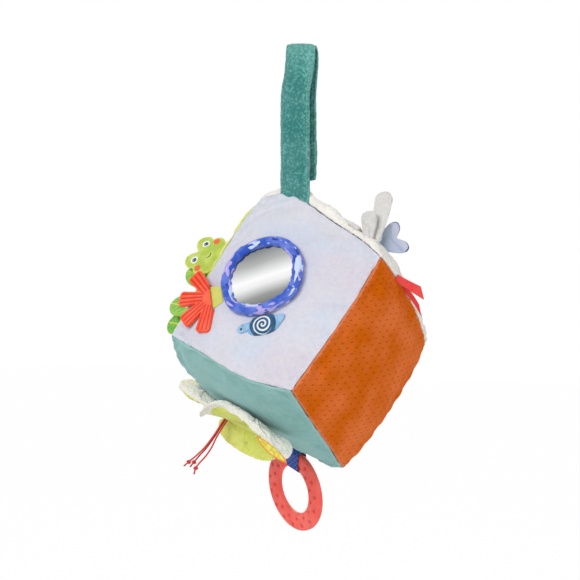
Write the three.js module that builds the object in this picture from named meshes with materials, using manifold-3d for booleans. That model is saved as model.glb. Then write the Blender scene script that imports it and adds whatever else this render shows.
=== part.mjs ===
// A soft activity block that hangs by a folded strap, with a mirror, a teether ring and sewn tags.
// Lengths are millimetres and Z is up. The origin is the inside top of the strap's fold: X runs
// along the strap's width and Y from its front run to its tail.
import * as THREE from 'three';
import { mergeVertices } from 'three/addons/utils/BufferGeometryUtils.js';
import Module from 'manifold-3d';

const wasm = await Module();
wasm.setup();

// the stuffed block
const halfEdge = 70; // half of one sewn edge, corner to corner
const crownRise = 16; // how far the filling lifts the middle of a panel
const cornerReach = 2; // how far a corner points out past the sewn edges
const seamDip = 2.4; // depth of the groove along a seam
const seamRound = 9; // width over which a panel rounds into its seam
const pileRise = 10; // height of the top panel's thick plush
const pileRound = 8; // width over which the plush rises from its seam
const pullRise = 29; // how far the strap lifts the seam that it hangs from
const pullReach = 50; // how far that lift spreads
const sagRise = 6; // how far the filling pushes the lower left seam out
const sagReach = 42; // how far that bulge spreads
const panelThickness = 2;
const softGap = 0.3; // clearance that resting pieces keep
const foamGap = 0.9; // clearance of the foam inside its panels
const panelStepCount = 12;
const seekRounds = 12; // tries at finding the place on a face below a point
const sagShares = [-1, -0.35, -1]; // middle of the seam that is pushed out
const seamGapShare = 0.0045; // how far a panel is drawn in from its seams, as a share of half an edge
const gridCrowding = 1.2; // radians: how much closer the panel's grid lies near its seams
const nudgeShare = 0.15; // step along a face that its slope is measured over
const cornerSharpness = 3; // how suddenly a panel's edge turns out into its corner

// how the block hangs, in degrees: turned about Z, then tipped about X, then rolled about Y
const hangTurn = 9.88;
const hangTip = -33.04;
const hangRoll = 21.86;

// the folded strap
const strapWidth = 31;
const strapThickness = 5;
const strapGap = 5.6; // between the two runs
const strapDrop = 130.6; // inside top of the fold down to the seam
const strapTailDrop = 118; // inside top of the fold down to the tail's end
const strapTuck = 16; // length that reaches past the seam and is trimmed to it
const strapSeamShare = -0.39; // place along the front top seam
const strapPullShares = [-0.56, -1, 1]; // middle of the lifted seam
const tapeSize = 24; // side of each fastening patch
const tapeGap = 0.15; // between a patch and what it lies on, and half of the gap between the two
const tapeEnd = 8; // from the patch to the tail's end
const tailRunGap = 0.3; // between the fold's end and the tail
const tailOpening = 150; // degrees

// the rattle inside the foam
const rattleRadius = 18;
const rattleWall = 1.6;
const rattleLength = 46;
const rattleBallRadius = 6;
const rattleRimDepth = 4; // how far the lid's spigot enters the cup
const pocketGap = 0.5;

// the mirror and its gathered frame
const mirrorShares = [-0.11, 0.05]; // place on the front panel
const mirrorRadius = 31;
const mirrorThickness = 1.6;
const frameRadius = 34; // middle of the padded tube
const frameTube = 5.2;
const frameLift = 3; // middle of the tube above the panel
const backingRadius = 36;
const backingTop = 1; // flat top of the backing above the panel

// the fan teether and the snail, hinged at the mirror frame
const fanOpening = 90; // degrees
const fanBearing = 224; // degrees round the mirror
const fanRibbonLength = 10;
const fanRibbonRootWidth = 17;
const fanRibbonEndWidth = 26;
const ribbonThickness = 1;
const fanReach = 34; // apex to the tip of a lobe
const fanThickness = 5;
const fanBevel = 1;
const fanLobeWidth = 14.5;
const fanLobeCorner = 3.5; // radius of the corners at a lobe's tip
const fanWaist = 9; // width of a lobe where it leaves the hub
const fanHubRadius = 15;
const fanLobeAngles = [-66, -22, 22, 66];
const fanSlotDepth = 4;
const fanLift = 3; // degrees that the fan stands off the panel
const snailBearing = -54;
const snailWidth = 45;
const snailLength = 17;
const snailThickness = 4;
const snailOpening = 70; // degrees

// tags sewn in the seams: their rounded roots and their outlines
const rootReach = 1; // how far a tag's rounded root reaches past its hinge axis
const tagEdge = 1; // thickness along a tag's outline
const tagPointCount = 24; // points round a tag's outline
const finePointCount = 34; // points round an outline with more turns

// the frog's head and the leaves at the left panel
const frogShares = [-1, -0.86, 0.13];
const frogWidth = 43;
const frogLength = 33;
const frogThickness = 4;
const leafThickness = 2;
const leafWidth = 24;
const leafUpperLength = 31;
const leafMiddleLength = 25;
const leafLowerLength = 18;

// the plush bug at the front top seam
const bugBodyLength = 39;
const bugBodyWidth = 14;
const bugLobeThickness = 8;
const bugTallLength = 55;
const bugTallWidth = 16;
const bugShortLength = 32;
const bugShortWidth = 14;
const bugTailLength = 25;
const bugTailWidth = 31;
const bugTailThickness = 2.4;

// the red ribbons at the right top seam
const redRibbonLength = 27;
const redRibbonWidth = 9;

// the butterfly under the bottom panel: its fore end points to the left panel
const butterflyShares = [-0.1, -0.19]; // place on the bottom panel
const butterflyBodyLength = 66;
const butterflyBodyRadius = 5;
const bodyTaperShare = 0.25; // how much slimmer the body's hind end is
const wingThickness = 11;
const wingCrest = 5; // from the body's middle to the wings' highest line, towards the fore end
const nearWingForeReach = 28;
const nearWingHindReach = 72;
const nearWingLength = 30;
const nearWingForeDroop = 16; // how far the fore end hangs below the crest
const nearWingHindDroop = 19;
const farWingReach = 37; // to each side of the body's middle
const farWingLength = 26;
const farWingThickness = 8;
const farWingTilt = 48; // degrees
const forewingLength = 52;
const forewingWidth = 22;
const forewingAside = 2; // from the body's middle line
const crinkleLength = 6;
const crinkleWidth = 34;
const crinkleThickness = 1.6;
const crinklePlace = 57; // from the crest towards the hind end
const crinkleRoot = 22.7; // from the near wing's hinge

// the teether ring and its ribbon
const ringShares = [0.17, 1, -1];
const ringOuterRadius = 40;
const ringHoleRadius = 23;
const ringThickness = 8;
const ringRibbonWidth = 17;
const ringSectionSides = 12;
const ringSquareness = 0.7; // power that squares off the section's round
const ringPlay = 0.7; // between the ring and its ribbon
const ringRootLength = 3; // seam to the ring's outer edge

// the antenna strings
const stringDiameter = 1.4;
const stringSides = 8;
const stringStep = 3.5;
// the route of each string from its exit under the butterfly's body, chosen by eye
const stringRoutes = {
  left: [
    [-62.7, -27.2, -336.3], [-65.3, -32.6, -343.8], [-69.8, -35.9, -352.3], [-75.6, -39.9, -361.6],
    [-81.7, -44.1, -369.1], [-87.1, -47.9, -374.6], [-91.9, -51.2, -379.5],
  ],
  middle: [
    [-63.5, -25, -337], [-66, -30.4, -344.6], [-70.4, -33.6, -353.3], [-76.1, -37.6, -363],
    [-81.7, -41.5, -370.5], [-85.3, -44, -375.7], [-88.5, -46.2, -380.6],
  ],
  right: [
    [-61.4, -25.7, -338.1], [-63.8, -30.6, -345.1], [-68.1, -33.7, -354], [-71.7, -36.2, -363],
    [-76.3, -39.4, -371.1], [-80.7, -42.5, -376.9], [-83.5, -44.4, -381.5], [-84.8, -45.3, -387.2],
  ],
};

const rad = THREE.MathUtils.degToRad;
const vec = (x, y, z) => new THREE.Vector3(x, y, z);
const AXIS_Z = vec(0, 0, 1);

function finish(color, roughness = 0.9, metalness = 0) {
  return new THREE.MeshStandardMaterial({ color, roughness, metalness });
}

const velourTeal = finish('#4b9691');
const velourAqua = finish('#7db9b2');
const velourLavender = finish('#dedce8');
const meshOrange = finish('#d46c19');
const plushCream = finish('#f3eee4');
const velourLime = finish('#d0de5f');
const plushGrey = finish('#d8d6d3');
const foamWhite = finish('#eeeeea');
const tapeGrey = finish('#a8b5b5');
const printBlue = finish('#325acd');
const felt = finish('#e8e6ea');
const mirrorSilver = finish('#d8dcdf', 0.08, 1);
const siliconeOrange = finish('#fa5f32', 0.5);
const siliconeCoral = finish('#f25f52', 0.45);
const ribbonLime = finish('#dad863');
const ribbonRed = finish('#ec3c32', 0.5);
const ribbonBlue = finish('#234baa', 0.7);
const snailBlue = finish('#285a82');
const frogGreen = finish('#c3d45f');
const leafGreen = finish('#7dbe4b');
const tailPrint = finish('#a0afc3');
const crinkleYellow = finish('#ecd74b');
const stringRed = finish('#dc3228', 0.8);
const capsuleWhite = finish('#f2f2ee', 0.5);

// position-only geometry with shared vertices and no collapsed triangles
function bare(geometry) {
  geometry.deleteAttribute('normal');
  geometry.deleteAttribute('uv');
  const merged = mergeVertices(geometry, 1e-4);
  const index = merged.index.array;
  const kept = [];
  for (let i = 0; i < index.length; i += 3) {
    const [a, b, c] = index.slice(i, i + 3);
    if (a !== b && b !== c && c !== a) {
      kept.push(a, b, c);
    }
  }
  merged.setIndex(kept);
  return merged;
}

function solid(geometry) {
  const mesh = bare(geometry.clone());
  return new wasm.Manifold(new wasm.Mesh({
    numProp: 3,
    vertProperties: new Float32Array(mesh.attributes.position.array),
    triVerts: new Uint32Array(mesh.index.array),
  }));
}

function geometryOf(shape) {
  const mesh = shape.getMesh();
  const geometry = new THREE.BufferGeometry();
  geometry.setAttribute('position', new THREE.BufferAttribute(mesh.vertProperties.slice(), 3));
  geometry.setIndex(new THREE.BufferAttribute(mesh.triVerts.slice(), 1));
  geometry.computeVertexNormals();
  return geometry;
}

function cut(geometry, ...tools) {
  return geometryOf(tools.reduce((shape, tool) => shape.subtract(solid(tool)), solid(geometry)));
}

function join(...geometries) {
  return geometryOf(geometries.map(solid).reduce((shape, other) => shape.add(other)));
}

function moved(geometry, x, y, z) {
  return geometry.clone().translate(x, y, z);
}

function piece(name, geometry, material, parent) {
  const mesh = new THREE.Mesh(geometry, material);
  mesh.name = name;
  parent.add(mesh);
  return mesh;
}

function group(parent, position = vec(0, 0, 0)) {
  const holder = new THREE.Group();
  holder.position.copy(position);
  parent.add(holder);
  return holder;
}

// a group at a point whose local X and Y lie along the given directions
function frameAt(parent, position, across, along) {
  const holder = group(parent, position);
  const y = along.clone().normalize();
  const x = across.clone().addScaledVector(y, -across.dot(y)).normalize();
  holder.quaternion.setFromRotationMatrix(new THREE.Matrix4().makeBasis(x, y, x.clone().cross(y)));
  return holder;
}

// the block's soft skin: a point on a unit cube becomes a point on the stuffed surface
const model = new THREE.Group();
const block = group(model);
block.rotation.set(rad(hangTip), rad(hangRoll), rad(hangTurn), 'ZXY');
const upInBlock = AXIS_Z.clone().applyQuaternion(block.quaternion.clone().invert());
const swells = [
  { middle: vec(...strapPullShares), rise: pullRise, reach: pullReach, way: upInBlock },
  { middle: vec(...sagShares), rise: sagRise, reach: sagReach, way: vec(-1, 0, -1).normalize() },
];

function eased(distance, width) {
  const share = THREE.MathUtils.clamp(1 - distance / width, 0, 1);
  return share * share;
}

function skin(q, depth = 0, pile = 0) {
  const size = q.length();
  const corner = (size * size - 1) / 2;
  const sorted = q.toArray().map(Math.abs).sort();
  const toSeam = halfEdge * (1 - sorted[1]);
  const groove = seamDip * eased(toSeam, seamRound);
  const lift = crownRise * (1 - corner) + cornerReach * corner ** cornerSharpness - groove;
  const point = q.clone().multiplyScalar(halfEdge + lift / size);
  for (const { middle, rise, reach, way } of swells) {
    point.addScaledVector(way, rise * Math.exp(-q.distanceToSquared(middle) * (halfEdge / reach) ** 2));
  }
  if (q.z === 1) {
    point.z += pile * Math.sqrt(1 - eased(toSeam, pileRound));
  }
  return point.multiplyScalar(1 - depth / halfEdge);
}

function crowded(share) {
  return Math.sin(share * gridCrowding) / Math.sin(gridCrowding);
}

// a geometry whose every point is moved by a function
function shaped(geometry, change) {
  const result = bare(geometry);
  const position = result.attributes.position;
  for (let i = 0; i < position.count; i += 1) {
    const point = change(vec().fromBufferAttribute(position, i));
    position.setXYZ(i, point.x, point.y, point.z);
  }
  result.computeVertexNormals();
  return result;
}

function shell(depth, steps, pile) {
  const cube = new THREE.BoxGeometry(2, 2, 2, steps, steps, steps);
  return shaped(cube, (p) => skin(vec(crowded(p.x), crowded(p.y), crowded(p.z)), depth, pile));
}

// the six faces of the unit cube: across x up = outward
const faces = {
  front: { out: vec(0, -1, 0), across: vec(1, 0, 0), up: vec(0, 0, 1) },
  right: { out: vec(1, 0, 0), across: vec(0, 1, 0), up: vec(0, 0, 1) },
  bottom: { out: vec(0, 0, -1), across: vec(1, 0, 0), up: vec(0, -1, 0) },
  top: { out: vec(0, 0, 1), across: vec(1, 0, 0), up: vec(0, 1, 0) },
  left: { out: vec(-1, 0, 0), across: vec(0, -1, 0), up: vec(0, 0, 1) },
  back: { out: vec(0, 1, 0), across: vec(-1, 0, 0), up: vec(0, 0, 1) },
};

function onFace(face, u, v) {
  return face.out.clone().addScaledVector(face.across, u).addScaledVector(face.up, v);
}

function panel(face, pile = 0) {
  const sheet = new THREE.BoxGeometry(2, 2, 1, panelStepCount, panelStepCount, 1);
  return shaped(sheet, (p) => {
    const q = onFace(face, crowded(p.x), crowded(p.y));
    const point = p.z > 0 ? skin(q, 0, pile) : skin(q, panelThickness);
    const rise = point.dot(face.out);
    return point.multiplyScalar(1 - seamGapShare).addScaledVector(face.out, rise * seamGapShare);
  });
}

// the direction that the skin faces at a point of the unit cube, the mean of its faces there
function outward(q) {
  const sum = vec(0, 0, 0);
  for (const axis of [0, 1, 2]) {
    const level = q.getComponent(axis);
    if (Math.abs(level) === 1) {
      const slopes = [(axis + 1) % 3, (axis + 2) % 3].map((other) => {
        const way = q.getComponent(other) > 0 ? -1 : 1;
        const near = q.clone().setComponent(other, q.getComponent(other) + way * nudgeShare);
        return skin(near).sub(skin(q)).multiplyScalar(way);
      });
      sum.add(slopes[0].cross(slopes[1]).normalize().multiplyScalar(level));
    }
  }
  return sum.normalize();
}

// the space that anything resting on the block keeps out of
const clearSkin = shell(-softGap, panelStepCount, pileRise);

// trims a geometry that lies in the frame of a group inside the block
function trimToBlock(geometry, holder) {
  model.updateMatrixWorld(true);
  const toHolder = holder.matrixWorld.clone().invert().multiply(block.matrixWorld);
  return cut(geometry, clearSkin.clone().applyMatrix4(toHolder));
}

// a closed cushion: an outline swells to a crown on both sides of its plane
function cushion(outline, heart, rise, fall, edge, bend = (p) => p) {
  const ringShares = [1, 0.94, 0.74, 0.42];
  const count = outline.length;
  const points = [];
  const side = (height, sign) => {
    for (const share of ringShares) {
      const swell = Math.sqrt(1 - share * share) * (height - edge / 2) + edge / 2;
      for (const p of outline) {
        points.push(heart.clone().lerp(p, share).setZ(sign * swell));
      }
    }
    points.push(vec(heart.x, heart.y, sign * height));
  };
  side(rise, 1);
  side(fall, -1);
  const half = ringShares.length * count + 1;
  const index = [];
  const quad = (a, b, c, d) => index.push(a, b, c, a, c, d);
  for (let i = 0; i < count; i += 1) {
    const j = (i + 1) % count;
    for (let ring = 0; ring < ringShares.length - 1; ring += 1) {
      const low = ring * count;
      const high = low + count;
      quad(low + i, low + j, high + j, high + i);
      quad(half + low + j, half + low + i, half + high + i, half + high + j);
    }
    const last = (ringShares.length - 1) * count;
    index.push(last + i, last + j, half - 1);
    index.push(half + last + j, half + last + i, half + half - 1);
    quad(half + i, half + j, j, i);
  }
  const geometry = new THREE.BufferGeometry();
  geometry.setAttribute('position', new THREE.BufferAttribute(new Float32Array(points.length * 3), 3));
  points.map(bend).forEach((p, i) => geometry.attributes.position.setXYZ(i, p.x, p.y, p.z));
  geometry.setIndex(index);
  geometry.computeVertexNormals();
  return geometry;
}

// a smooth closed outline through points given as shares of a width and a length
function outlineOf(shares, width, length, count = tagPointCount) {
  const points = shares.map(([x, y]) => vec(x * width, y * length, 0));
  const loop = new THREE.CatmullRomCurve3(points, true, 'centripetal');
  return loop.getSpacedPoints(count).slice(0, count);
}

function mirrored(shares) {
  return [...shares, ...shares.map(([x, y]) => [-x, y]).reverse().filter(([x]) => x !== 0)];
}

// outline shares: X as shares of the width from the middle, Y as shares of the length from the root
const lobeShares = mirrored([[0, -0.02], [0.2, -0.02], [0.36, 0.12], [0.5, 0.55], [0.42, 0.86], [0, 1]]);
const bodyLobeShares = mirrored([[0, -0.02], [0.3, -0.02], [0.5, 0.25], [0.42, 0.65], [0, 1]]);
const leafOutlineShares = mirrored([[0.22, -0.04], [0.45, 0.25], [0.48, 0.55], [0.3, 0.85], [0, 1]]);
const frogOutlineShares = mirrored([
  [0.34, -0.03], [0.42, 0.1], [0.5, 0.28], [0.47, 0.48], [0.4, 0.56], [0.43, 0.72], [0.36, 0.92],
  [0.22, 1], [0.08, 0.9], [0, 0.77],
]);
const snailOutlineShares = [
  [0.2, -0.03], [0.3, 0.14], [0.42, 0.16], [0.54, 0.3], [0.55, 0.52], [0.47, 0.66], [0.37, 0.6],
  [0.28, 0.86], [0.12, 1], [-0.08, 1], [-0.24, 0.86], [-0.34, 0.58], [-0.43, 0.28], [-0.42, 0.08],
  [-0.3, 0.1], [-0.18, -0.03],
];
const bugTailShares = mirrored([
  [0.1, -0.02], [0.2, 0.1], [0.42, 0.5], [0.5, 0.82], [0.42, 1], [0.24, 0.98], [0, 0.74],
]);
const nearWingShares = [
  [0, -0.03], [0.25, -0.03], [0.5, -0.03], [0.85, 0.05], [1, 0.3], [0.88, 0.6], [0.62, 0.86],
  [0.3, 1], [-0.1, 1], [-0.55, 0.96], [-0.92, 0.72], [-1, 0.35], [-0.7, -0.03], [-0.35, -0.03],
];
const farWingShares = mirrored([[0, -0.03], [0.3, -0.03], [0.48, 0.3], [0.44, 0.7], [0.24, 0.96], [0, 1]]);
const stripShares = mirrored([[0.5, -0.02], [0.5, 0.5], [0.5, 1]]);
const crinkleShares = mirrored([
  [0, -0.16], [0.2, -0.16], [0.4, -0.16], [0.5, 0.4], [0.4, 0.85], [0.2, 1], [0, 0.96],
]);

// a group hinged at a place on the skin, whose X is the hinge axis and whose Y is where the tag grows
function hingeOn(q, across, along, pile = 0) {
  const seat = skin(q, 0, pile).addScaledVector(outward(q), rootReach + softGap);
  return frameAt(block, seat, across, along);
}

function panels() {
  piece('front_panel', panel(faces.front), velourLavender, block);
  piece('right_panel', panel(faces.right), meshOrange, block);
  piece('bottom_panel', panel(faces.bottom), velourAqua, block);
  piece('top_panel', panel(faces.top, pileRise), plushCream, block);
  piece('left_panel', panel(faces.left), velourLime, block);
  piece('back_panel', panel(faces.back), velourAqua, block);
}

// the foam core has a bored pocket for the rattle, closed by a foam plug
function filling() {
  const core = shell(panelThickness + foamGap, panelStepCount, 0);
  const boreRadius = rattleRadius + pocketGap;
  const pocketTop = rattleLength / 2 + pocketGap;
  const bore = cylinder(boreRadius, 2 * halfEdge, -2 * halfEdge + pocketTop);
  piece('foam_core', cut(core, bore), foamWhite, block);
  const plugTop = -rattleLength / 2 - pocketGap;
  const plugBlank = cylinder(boreRadius - softGap, 2 * halfEdge, -2 * halfEdge + plugTop);
  piece('foam_plug', geometryOf(solid(plugBlank).intersect(solid(core))), foamWhite, block);
}

// a round bar along Z from a low end
function cylinder(radius, length, low, sides = 24) {
  const bar = new THREE.CylinderGeometry(radius, radius, length, sides);
  return bar.rotateX(Math.PI / 2).translate(0, 0, low + length / 2);
}

// a solid of revolution about Z from [radius, height] points that start and end on the axis
function turned(points, sides = 24) {
  const profile = points.map(([r, z]) => new THREE.Vector2(r, z));
  return new THREE.LatheGeometry(profile, sides).rotateX(Math.PI / 2);
}

function rattle() {
  const outer = rattleRadius;
  const inner = rattleRadius - rattleWall;
  const spigot = inner - softGap;
  const low = -rattleLength / 2;
  const high = rattleLength / 2;
  const round = outer / 2;
  const split = 0;
  const cup = turned([
    [0, low], [outer - round, low], [outer, low + round], [outer, split], [inner, split],
    [inner, low + round], [inner - round, low + rattleWall], [0, low + rattleWall],
  ]);
  const lid = turned([
    [0, high - rattleWall], [inner - round, high - rattleWall], [spigot - rattleWall, high - round],
    [spigot - rattleWall, split - rattleRimDepth], [spigot, split - rattleRimDepth],
    [spigot, split + softGap], [outer, split + softGap], [outer, high - round], [outer - round, high],
    [0, high],
  ]);
  piece('rattle_cup', cup, capsuleWhite, block);
  piece('rattle_lid', lid, capsuleWhite, block);
  const rest = low + rattleWall + softGap + rattleBallRadius;
  const ballSlide = group(block, vec(0, 0, rest));
  ballSlide.userData = { slide: 'rattle_ball', range: [0, -2 * rest] };
  piece('rattle_ball', new THREE.SphereGeometry(rattleBallRadius, 16, 10), siliconeOrange, ballSlide);
}

// the block hangs so that its seam lies under the strap's front run
function hangBlock() {
  const seam = skin(vec(strapSeamShare, -1, 1)).applyQuaternion(block.quaternion);
  block.position.set(0, -(strapGap + strapThickness) / 2, -strapDrop).sub(seam);
  block.updateMatrixWorld(true);
}

function strapProfile(inner, outer, drop) {
  const middle = -strapGap / 2;
  const shape = new THREE.Shape();
  shape.moveTo(-outer, -drop);
  shape.lineTo(-inner, -drop);
  shape.absarc(0, middle, inner, Math.PI, 0, true);
  shape.absarc(0, middle, outer, 0, Math.PI, false);
  return shape;
}

// an outline in the Y-Z plane pushed out along X
function strapSolid(shape, width) {
  const options = { depth: width, bevelEnabled: false, curveSegments: 8 };
  const geometry = new THREE.ExtrudeGeometry(shape, options).translate(0, 0, -width / 2);
  return geometry.applyMatrix4(new THREE.Matrix4().makeBasis(vec(0, 1, 0), vec(0, 0, 1), vec(1, 0, 0)));
}

function boxShape(left, bottom, right, top) {
  const shape = new THREE.Shape();
  shape.moveTo(left, bottom);
  shape.lineTo(right, bottom);
  shape.lineTo(right, top);
  shape.lineTo(left, top);
  shape.closePath();
  return shape;
}

function strap() {
  const inner = strapGap / 2;
  const outer = inner + strapThickness;
  const front = strapSolid(strapProfile(inner, outer, strapDrop + strapTuck), strapWidth);
  piece('strap_front', trimToBlock(front, model), velourTeal, model);

  const tailHinge = group(model, vec(0, outer, -inner));
  tailHinge.userData = { hinge: 'strap_tail', range: [0, tailOpening] };
  const tailBottom = inner - strapTailDrop;
  const run = boxShape(-strapThickness, tailBottom, 0, -tailRunGap);
  piece('strap_tail', strapSolid(run, strapWidth), velourTeal, tailHinge);

  const tapeThickness = inner - 2 * tapeGap;
  const tapeBottom = -strapTailDrop + tapeEnd;
  const tape = strapSolid(boxShape(0, 0, tapeThickness, tapeSize), tapeSize);
  piece('loop_patch', moved(tape, 0, -inner + tapeGap, tapeBottom), tapeGrey, model);
  piece('hook_patch', moved(tape, 0, tapeGap - outer, tapeBottom + inner), tapeGrey, tailHinge);
}

// the height of the skin over a seat's own plane, at a place given in the seat's X and Y
function skinHeight(face, seat, x, y) {
  const toSeat = seat.matrixWorld.clone().invert().multiply(block.matrixWorld);
  const place = { u: 0, v: 0 };
  let point = vec(0, 0, 0);
  for (let round = 0; round < seekRounds; round += 1) {
    point = skin(onFace(face, place.u, place.v)).applyMatrix4(toSeat);
    place.u += (x - point.x) / (halfEdge + crownRise);
    place.v += (y - point.y) / (halfEdge + crownRise);
  }
  return point.z;
}

function seatOn(face, shares) {
  const q = onFace(face, ...shares);
  const out = outward(q);
  const up = face.up.clone().addScaledVector(out, -face.up.dot(out));
  const seat = frameAt(block, skin(q), face.across, up);
  seat.updateMatrixWorld(true);
  return seat;
}

function mirror() {
  const seat = seatOn(faces.front, mirrorShares);
  const backingDepth = backingRadius - backingTop;
  const backing = cylinder(backingRadius, backingDepth, backingTop - backingDepth, 40);
  piece('mirror_backing', trimToBlock(backing, seat), felt, seat);
  const discLow = backingTop + softGap;
  piece('mirror_disc', cylinder(mirrorRadius, mirrorThickness, discLow, 48), mirrorSilver, seat);

  const tube = new THREE.TorusGeometry(frameRadius, frameTube, 10, 48).translate(0, 0, frameLift);
  const discSpace = cylinder(mirrorRadius + softGap, mirrorThickness + softGap, discLow - softGap / 2, 48);
  const backingSpaceLow = backingTop + softGap - backingDepth;
  const backingSpace = cylinder(backingRadius + softGap, backingDepth, backingSpaceLow, 48);
  const frame = trimToBlock(cut(tube, discSpace, backingSpace), seat);
  piece('mirror_frame', frame, printBlue, seat);
  return seat;
}

// a flap hinged beside the mirror frame that lies along the skin
function flapBeside(seat, flap) {
  const { name, bearing, reach, opening, lift = 0 } = flap;
  const radius = frameRadius + frameTube + softGap + rootReach;
  const at = (r) => [r * Math.cos(rad(bearing)), r * Math.sin(rad(bearing))];
  const height = skinHeight(faces.front, seat, ...at(radius));
  const slope = Math.atan2(skinHeight(faces.front, seat, ...at(radius + reach)) - height, reach);
  const hinge = group(seat, vec(...at(radius), height + rootReach + softGap));
  hinge.rotation.set(slope + rad(lift), 0, rad(bearing - 90), 'ZXY');
  hinge.userData = { hinge: name, range: [0, opening] };
  hinge.updateMatrixWorld(true);
  return hinge;
}

function fan(seat) {
  const hinge = flapBeside(seat, {
    name: 'fan_teether', bearing: fanBearing, reach: fanRibbonLength + fanHubRadius, opening: fanOpening,
    lift: fanLift,
  });
  const height = fanThickness / 2 - rootReach;
  const ribbonLength = fanRibbonLength + fanSlotDepth - softGap;
  const climb = height / ribbonLength;
  const rootShare = fanRibbonRootWidth / fanRibbonEndWidth / 2;
  const ribbonShares = [[rootShare, 0], [0.5, 1], [0, 1], [-0.5, 1], [-rootShare, 0], [0, 0]];
  const ribbon = cushion(
    ribbonShares.map(([x, y]) => vec(x * fanRibbonEndWidth, y * ribbonLength, 0)),
    vec(0, ribbonLength / 2, 0), ribbonThickness / 2, ribbonThickness / 2, ribbonThickness,
    (p) => vec(p.x, p.y, p.z + climb * p.y),
  );
  piece('fan_ribbon', trimToBlock(ribbon, hinge), ribbonLime, hinge);

  const lobes = fanLobeAngles.map((angle) => {
    const shape = new THREE.Shape();
    const tip = fanReach - fanLobeCorner;
    const corner = fanLobeWidth / 2 - fanLobeCorner;
    shape.moveTo(-fanWaist / 2, 0);
    shape.lineTo(fanWaist / 2, 0);
    shape.absarc(corner, tip, fanLobeCorner, 0, Math.PI / 2, false);
    shape.absarc(-corner, tip, fanLobeCorner, Math.PI / 2, Math.PI, false);
    shape.closePath();
    return flatPlate(shape, fanThickness, fanBevel).rotateZ(rad(angle));
  });
  const hubShape = new THREE.Shape();
  hubShape.moveTo(-fanHubRadius, 0);
  hubShape.absarc(0, 0, fanHubRadius, Math.PI, 0, true);
  hubShape.closePath();
  const body = join(...lobes, flatPlate(hubShape, fanThickness, fanBevel));
  const slotWidth = fanRibbonEndWidth + 2 * softGap;
  const slotHeight = ribbonThickness + 2 * softGap + climb * fanSlotDepth;
  const slotMiddle = climb * (fanRibbonLength + fanSlotDepth / 2) - height;
  const slot = new THREE.BoxGeometry(slotWidth, 2 * fanSlotDepth, slotHeight).translate(0, 0, slotMiddle);
  const belowBack = new THREE.BoxGeometry(2 * fanReach, fanReach, 2 * fanThickness);
  const trimmed = cut(body, slot, moved(belowBack, 0, -fanReach / 2, 0));
  const placed = moved(trimmed, 0, fanRibbonLength, height);
  piece('fan_teether', trimToBlock(placed, hinge), siliconeOrange, hinge);
}

function flatPlate(shape, thickness, bevel) {
  const options = {
    depth: thickness - 2 * bevel, bevelEnabled: true, bevelThickness: bevel, bevelSize: bevel,
    bevelOffset: -bevel, bevelSegments: 2, curveSegments: 6,
  };
  return new THREE.ExtrudeGeometry(shape, options).translate(0, 0, bevel - thickness / 2);
}

function snail(seat) {
  const hinge = flapBeside(seat, {
    name: 'snail_tag', bearing: snailBearing, reach: snailLength, opening: snailOpening,
  });
  const rise = snailThickness - rootReach;
  const outline = outlineOf(snailOutlineShares, snailWidth, snailLength, finePointCount);
  const tag = cushion(outline, vec(0, snailLength / 2, 0), rise, rootReach, tagEdge);
  piece('snail_tag', trimToBlock(tag, hinge), snailBlue, hinge);
}

// a tag that grows from the skin; its root is rounded about the hinge
function sewnTag(tag) {
  const hinge = hingeOn(vec(...tag.shares), vec(...tag.across), vec(...tag.along), tag.pile);
  hinge.userData = { hinge: tag.name, range: tag.range };
  const outline = outlineOf(tag.outline, tag.width, tag.length, tag.count);
  const half = tag.thickness / 2;
  const form = cushion(outline, vec(0, tag.length / 2, 0), half, half, tagEdge);
  hinge.updateMatrixWorld(true);
  piece(tag.name, trimToBlock(form, hinge), tag.material, hinge);
}

function leftTags() {
  const sideways = [0, 0, 1];
  sewnTag({
    name: 'frog_head', shares: frogShares, across: sideways, along: [-1, 0.05, 0], width: frogWidth,
    length: frogLength, thickness: frogThickness, outline: frogOutlineShares, count: finePointCount,
    material: frogGreen, range: [-15, 15],
  });
  const leaves = [
    {
      name: 'leaf_upper', shares: [-1, -0.7, -0.08], along: [-1, 0.05, 0.06], length: leafUpperLength,
      range: [-20, 12],
    },
    {
      name: 'leaf_middle', shares: [-1, -0.76, -0.47], along: [-1, 0.05, -0.08],
      length: leafMiddleLength, range: [-10, 25],
    },
    {
      name: 'leaf_lower', shares: [-1, -0.68, -0.65], along: [-0.93, 0.05, -0.2],
      length: leafLowerLength, range: [-20, 12],
    },
  ];
  for (const leaf of leaves) {
    sewnTag({
      ...leaf, across: sideways, width: leafWidth, thickness: leafThickness, outline: leafOutlineShares,
      material: leafGreen,
    });
  }
}

function bug() {
  const lobe = { thickness: bugLobeThickness, material: plushGrey, pile: pileRise };
  sewnTag({
    ...lobe, name: 'bug_body', shares: [0.47, -0.93, 1], across: [0, -1, 0], along: [-0.97, -0.02, 0.25],
    width: bugBodyWidth, length: bugBodyLength, outline: bodyLobeShares, range: [-30, 0],
  });
  sewnTag({
    ...lobe, name: 'bug_wing_short', shares: [0.7, -0.98, 1], across: [1, 0, 0], along: [-0.5, -0.1, 0.84],
    width: bugShortWidth, length: bugShortLength, outline: lobeShares, range: [0, 35],
  });
  sewnTag({
    ...lobe, name: 'bug_wing_tall', shares: [0.7, -0.88, 1], across: [1, 0, 0], along: [-0.42, 0.02, 0.9],
    width: bugTallWidth, length: bugTallLength, outline: lobeShares, range: [-8, 4],
  });
  sewnTag({
    name: 'bug_tail', shares: [0.62, -0.7, 1], across: [0.5, 0.2, -0.8], along: [0.59, 0.13, 0.8],
    width: bugTailWidth, length: bugTailLength, thickness: bugTailThickness, outline: bugTailShares,
    count: finePointCount, material: tailPrint, range: [-20, 8], pile: pileRise,
  });
}

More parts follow.
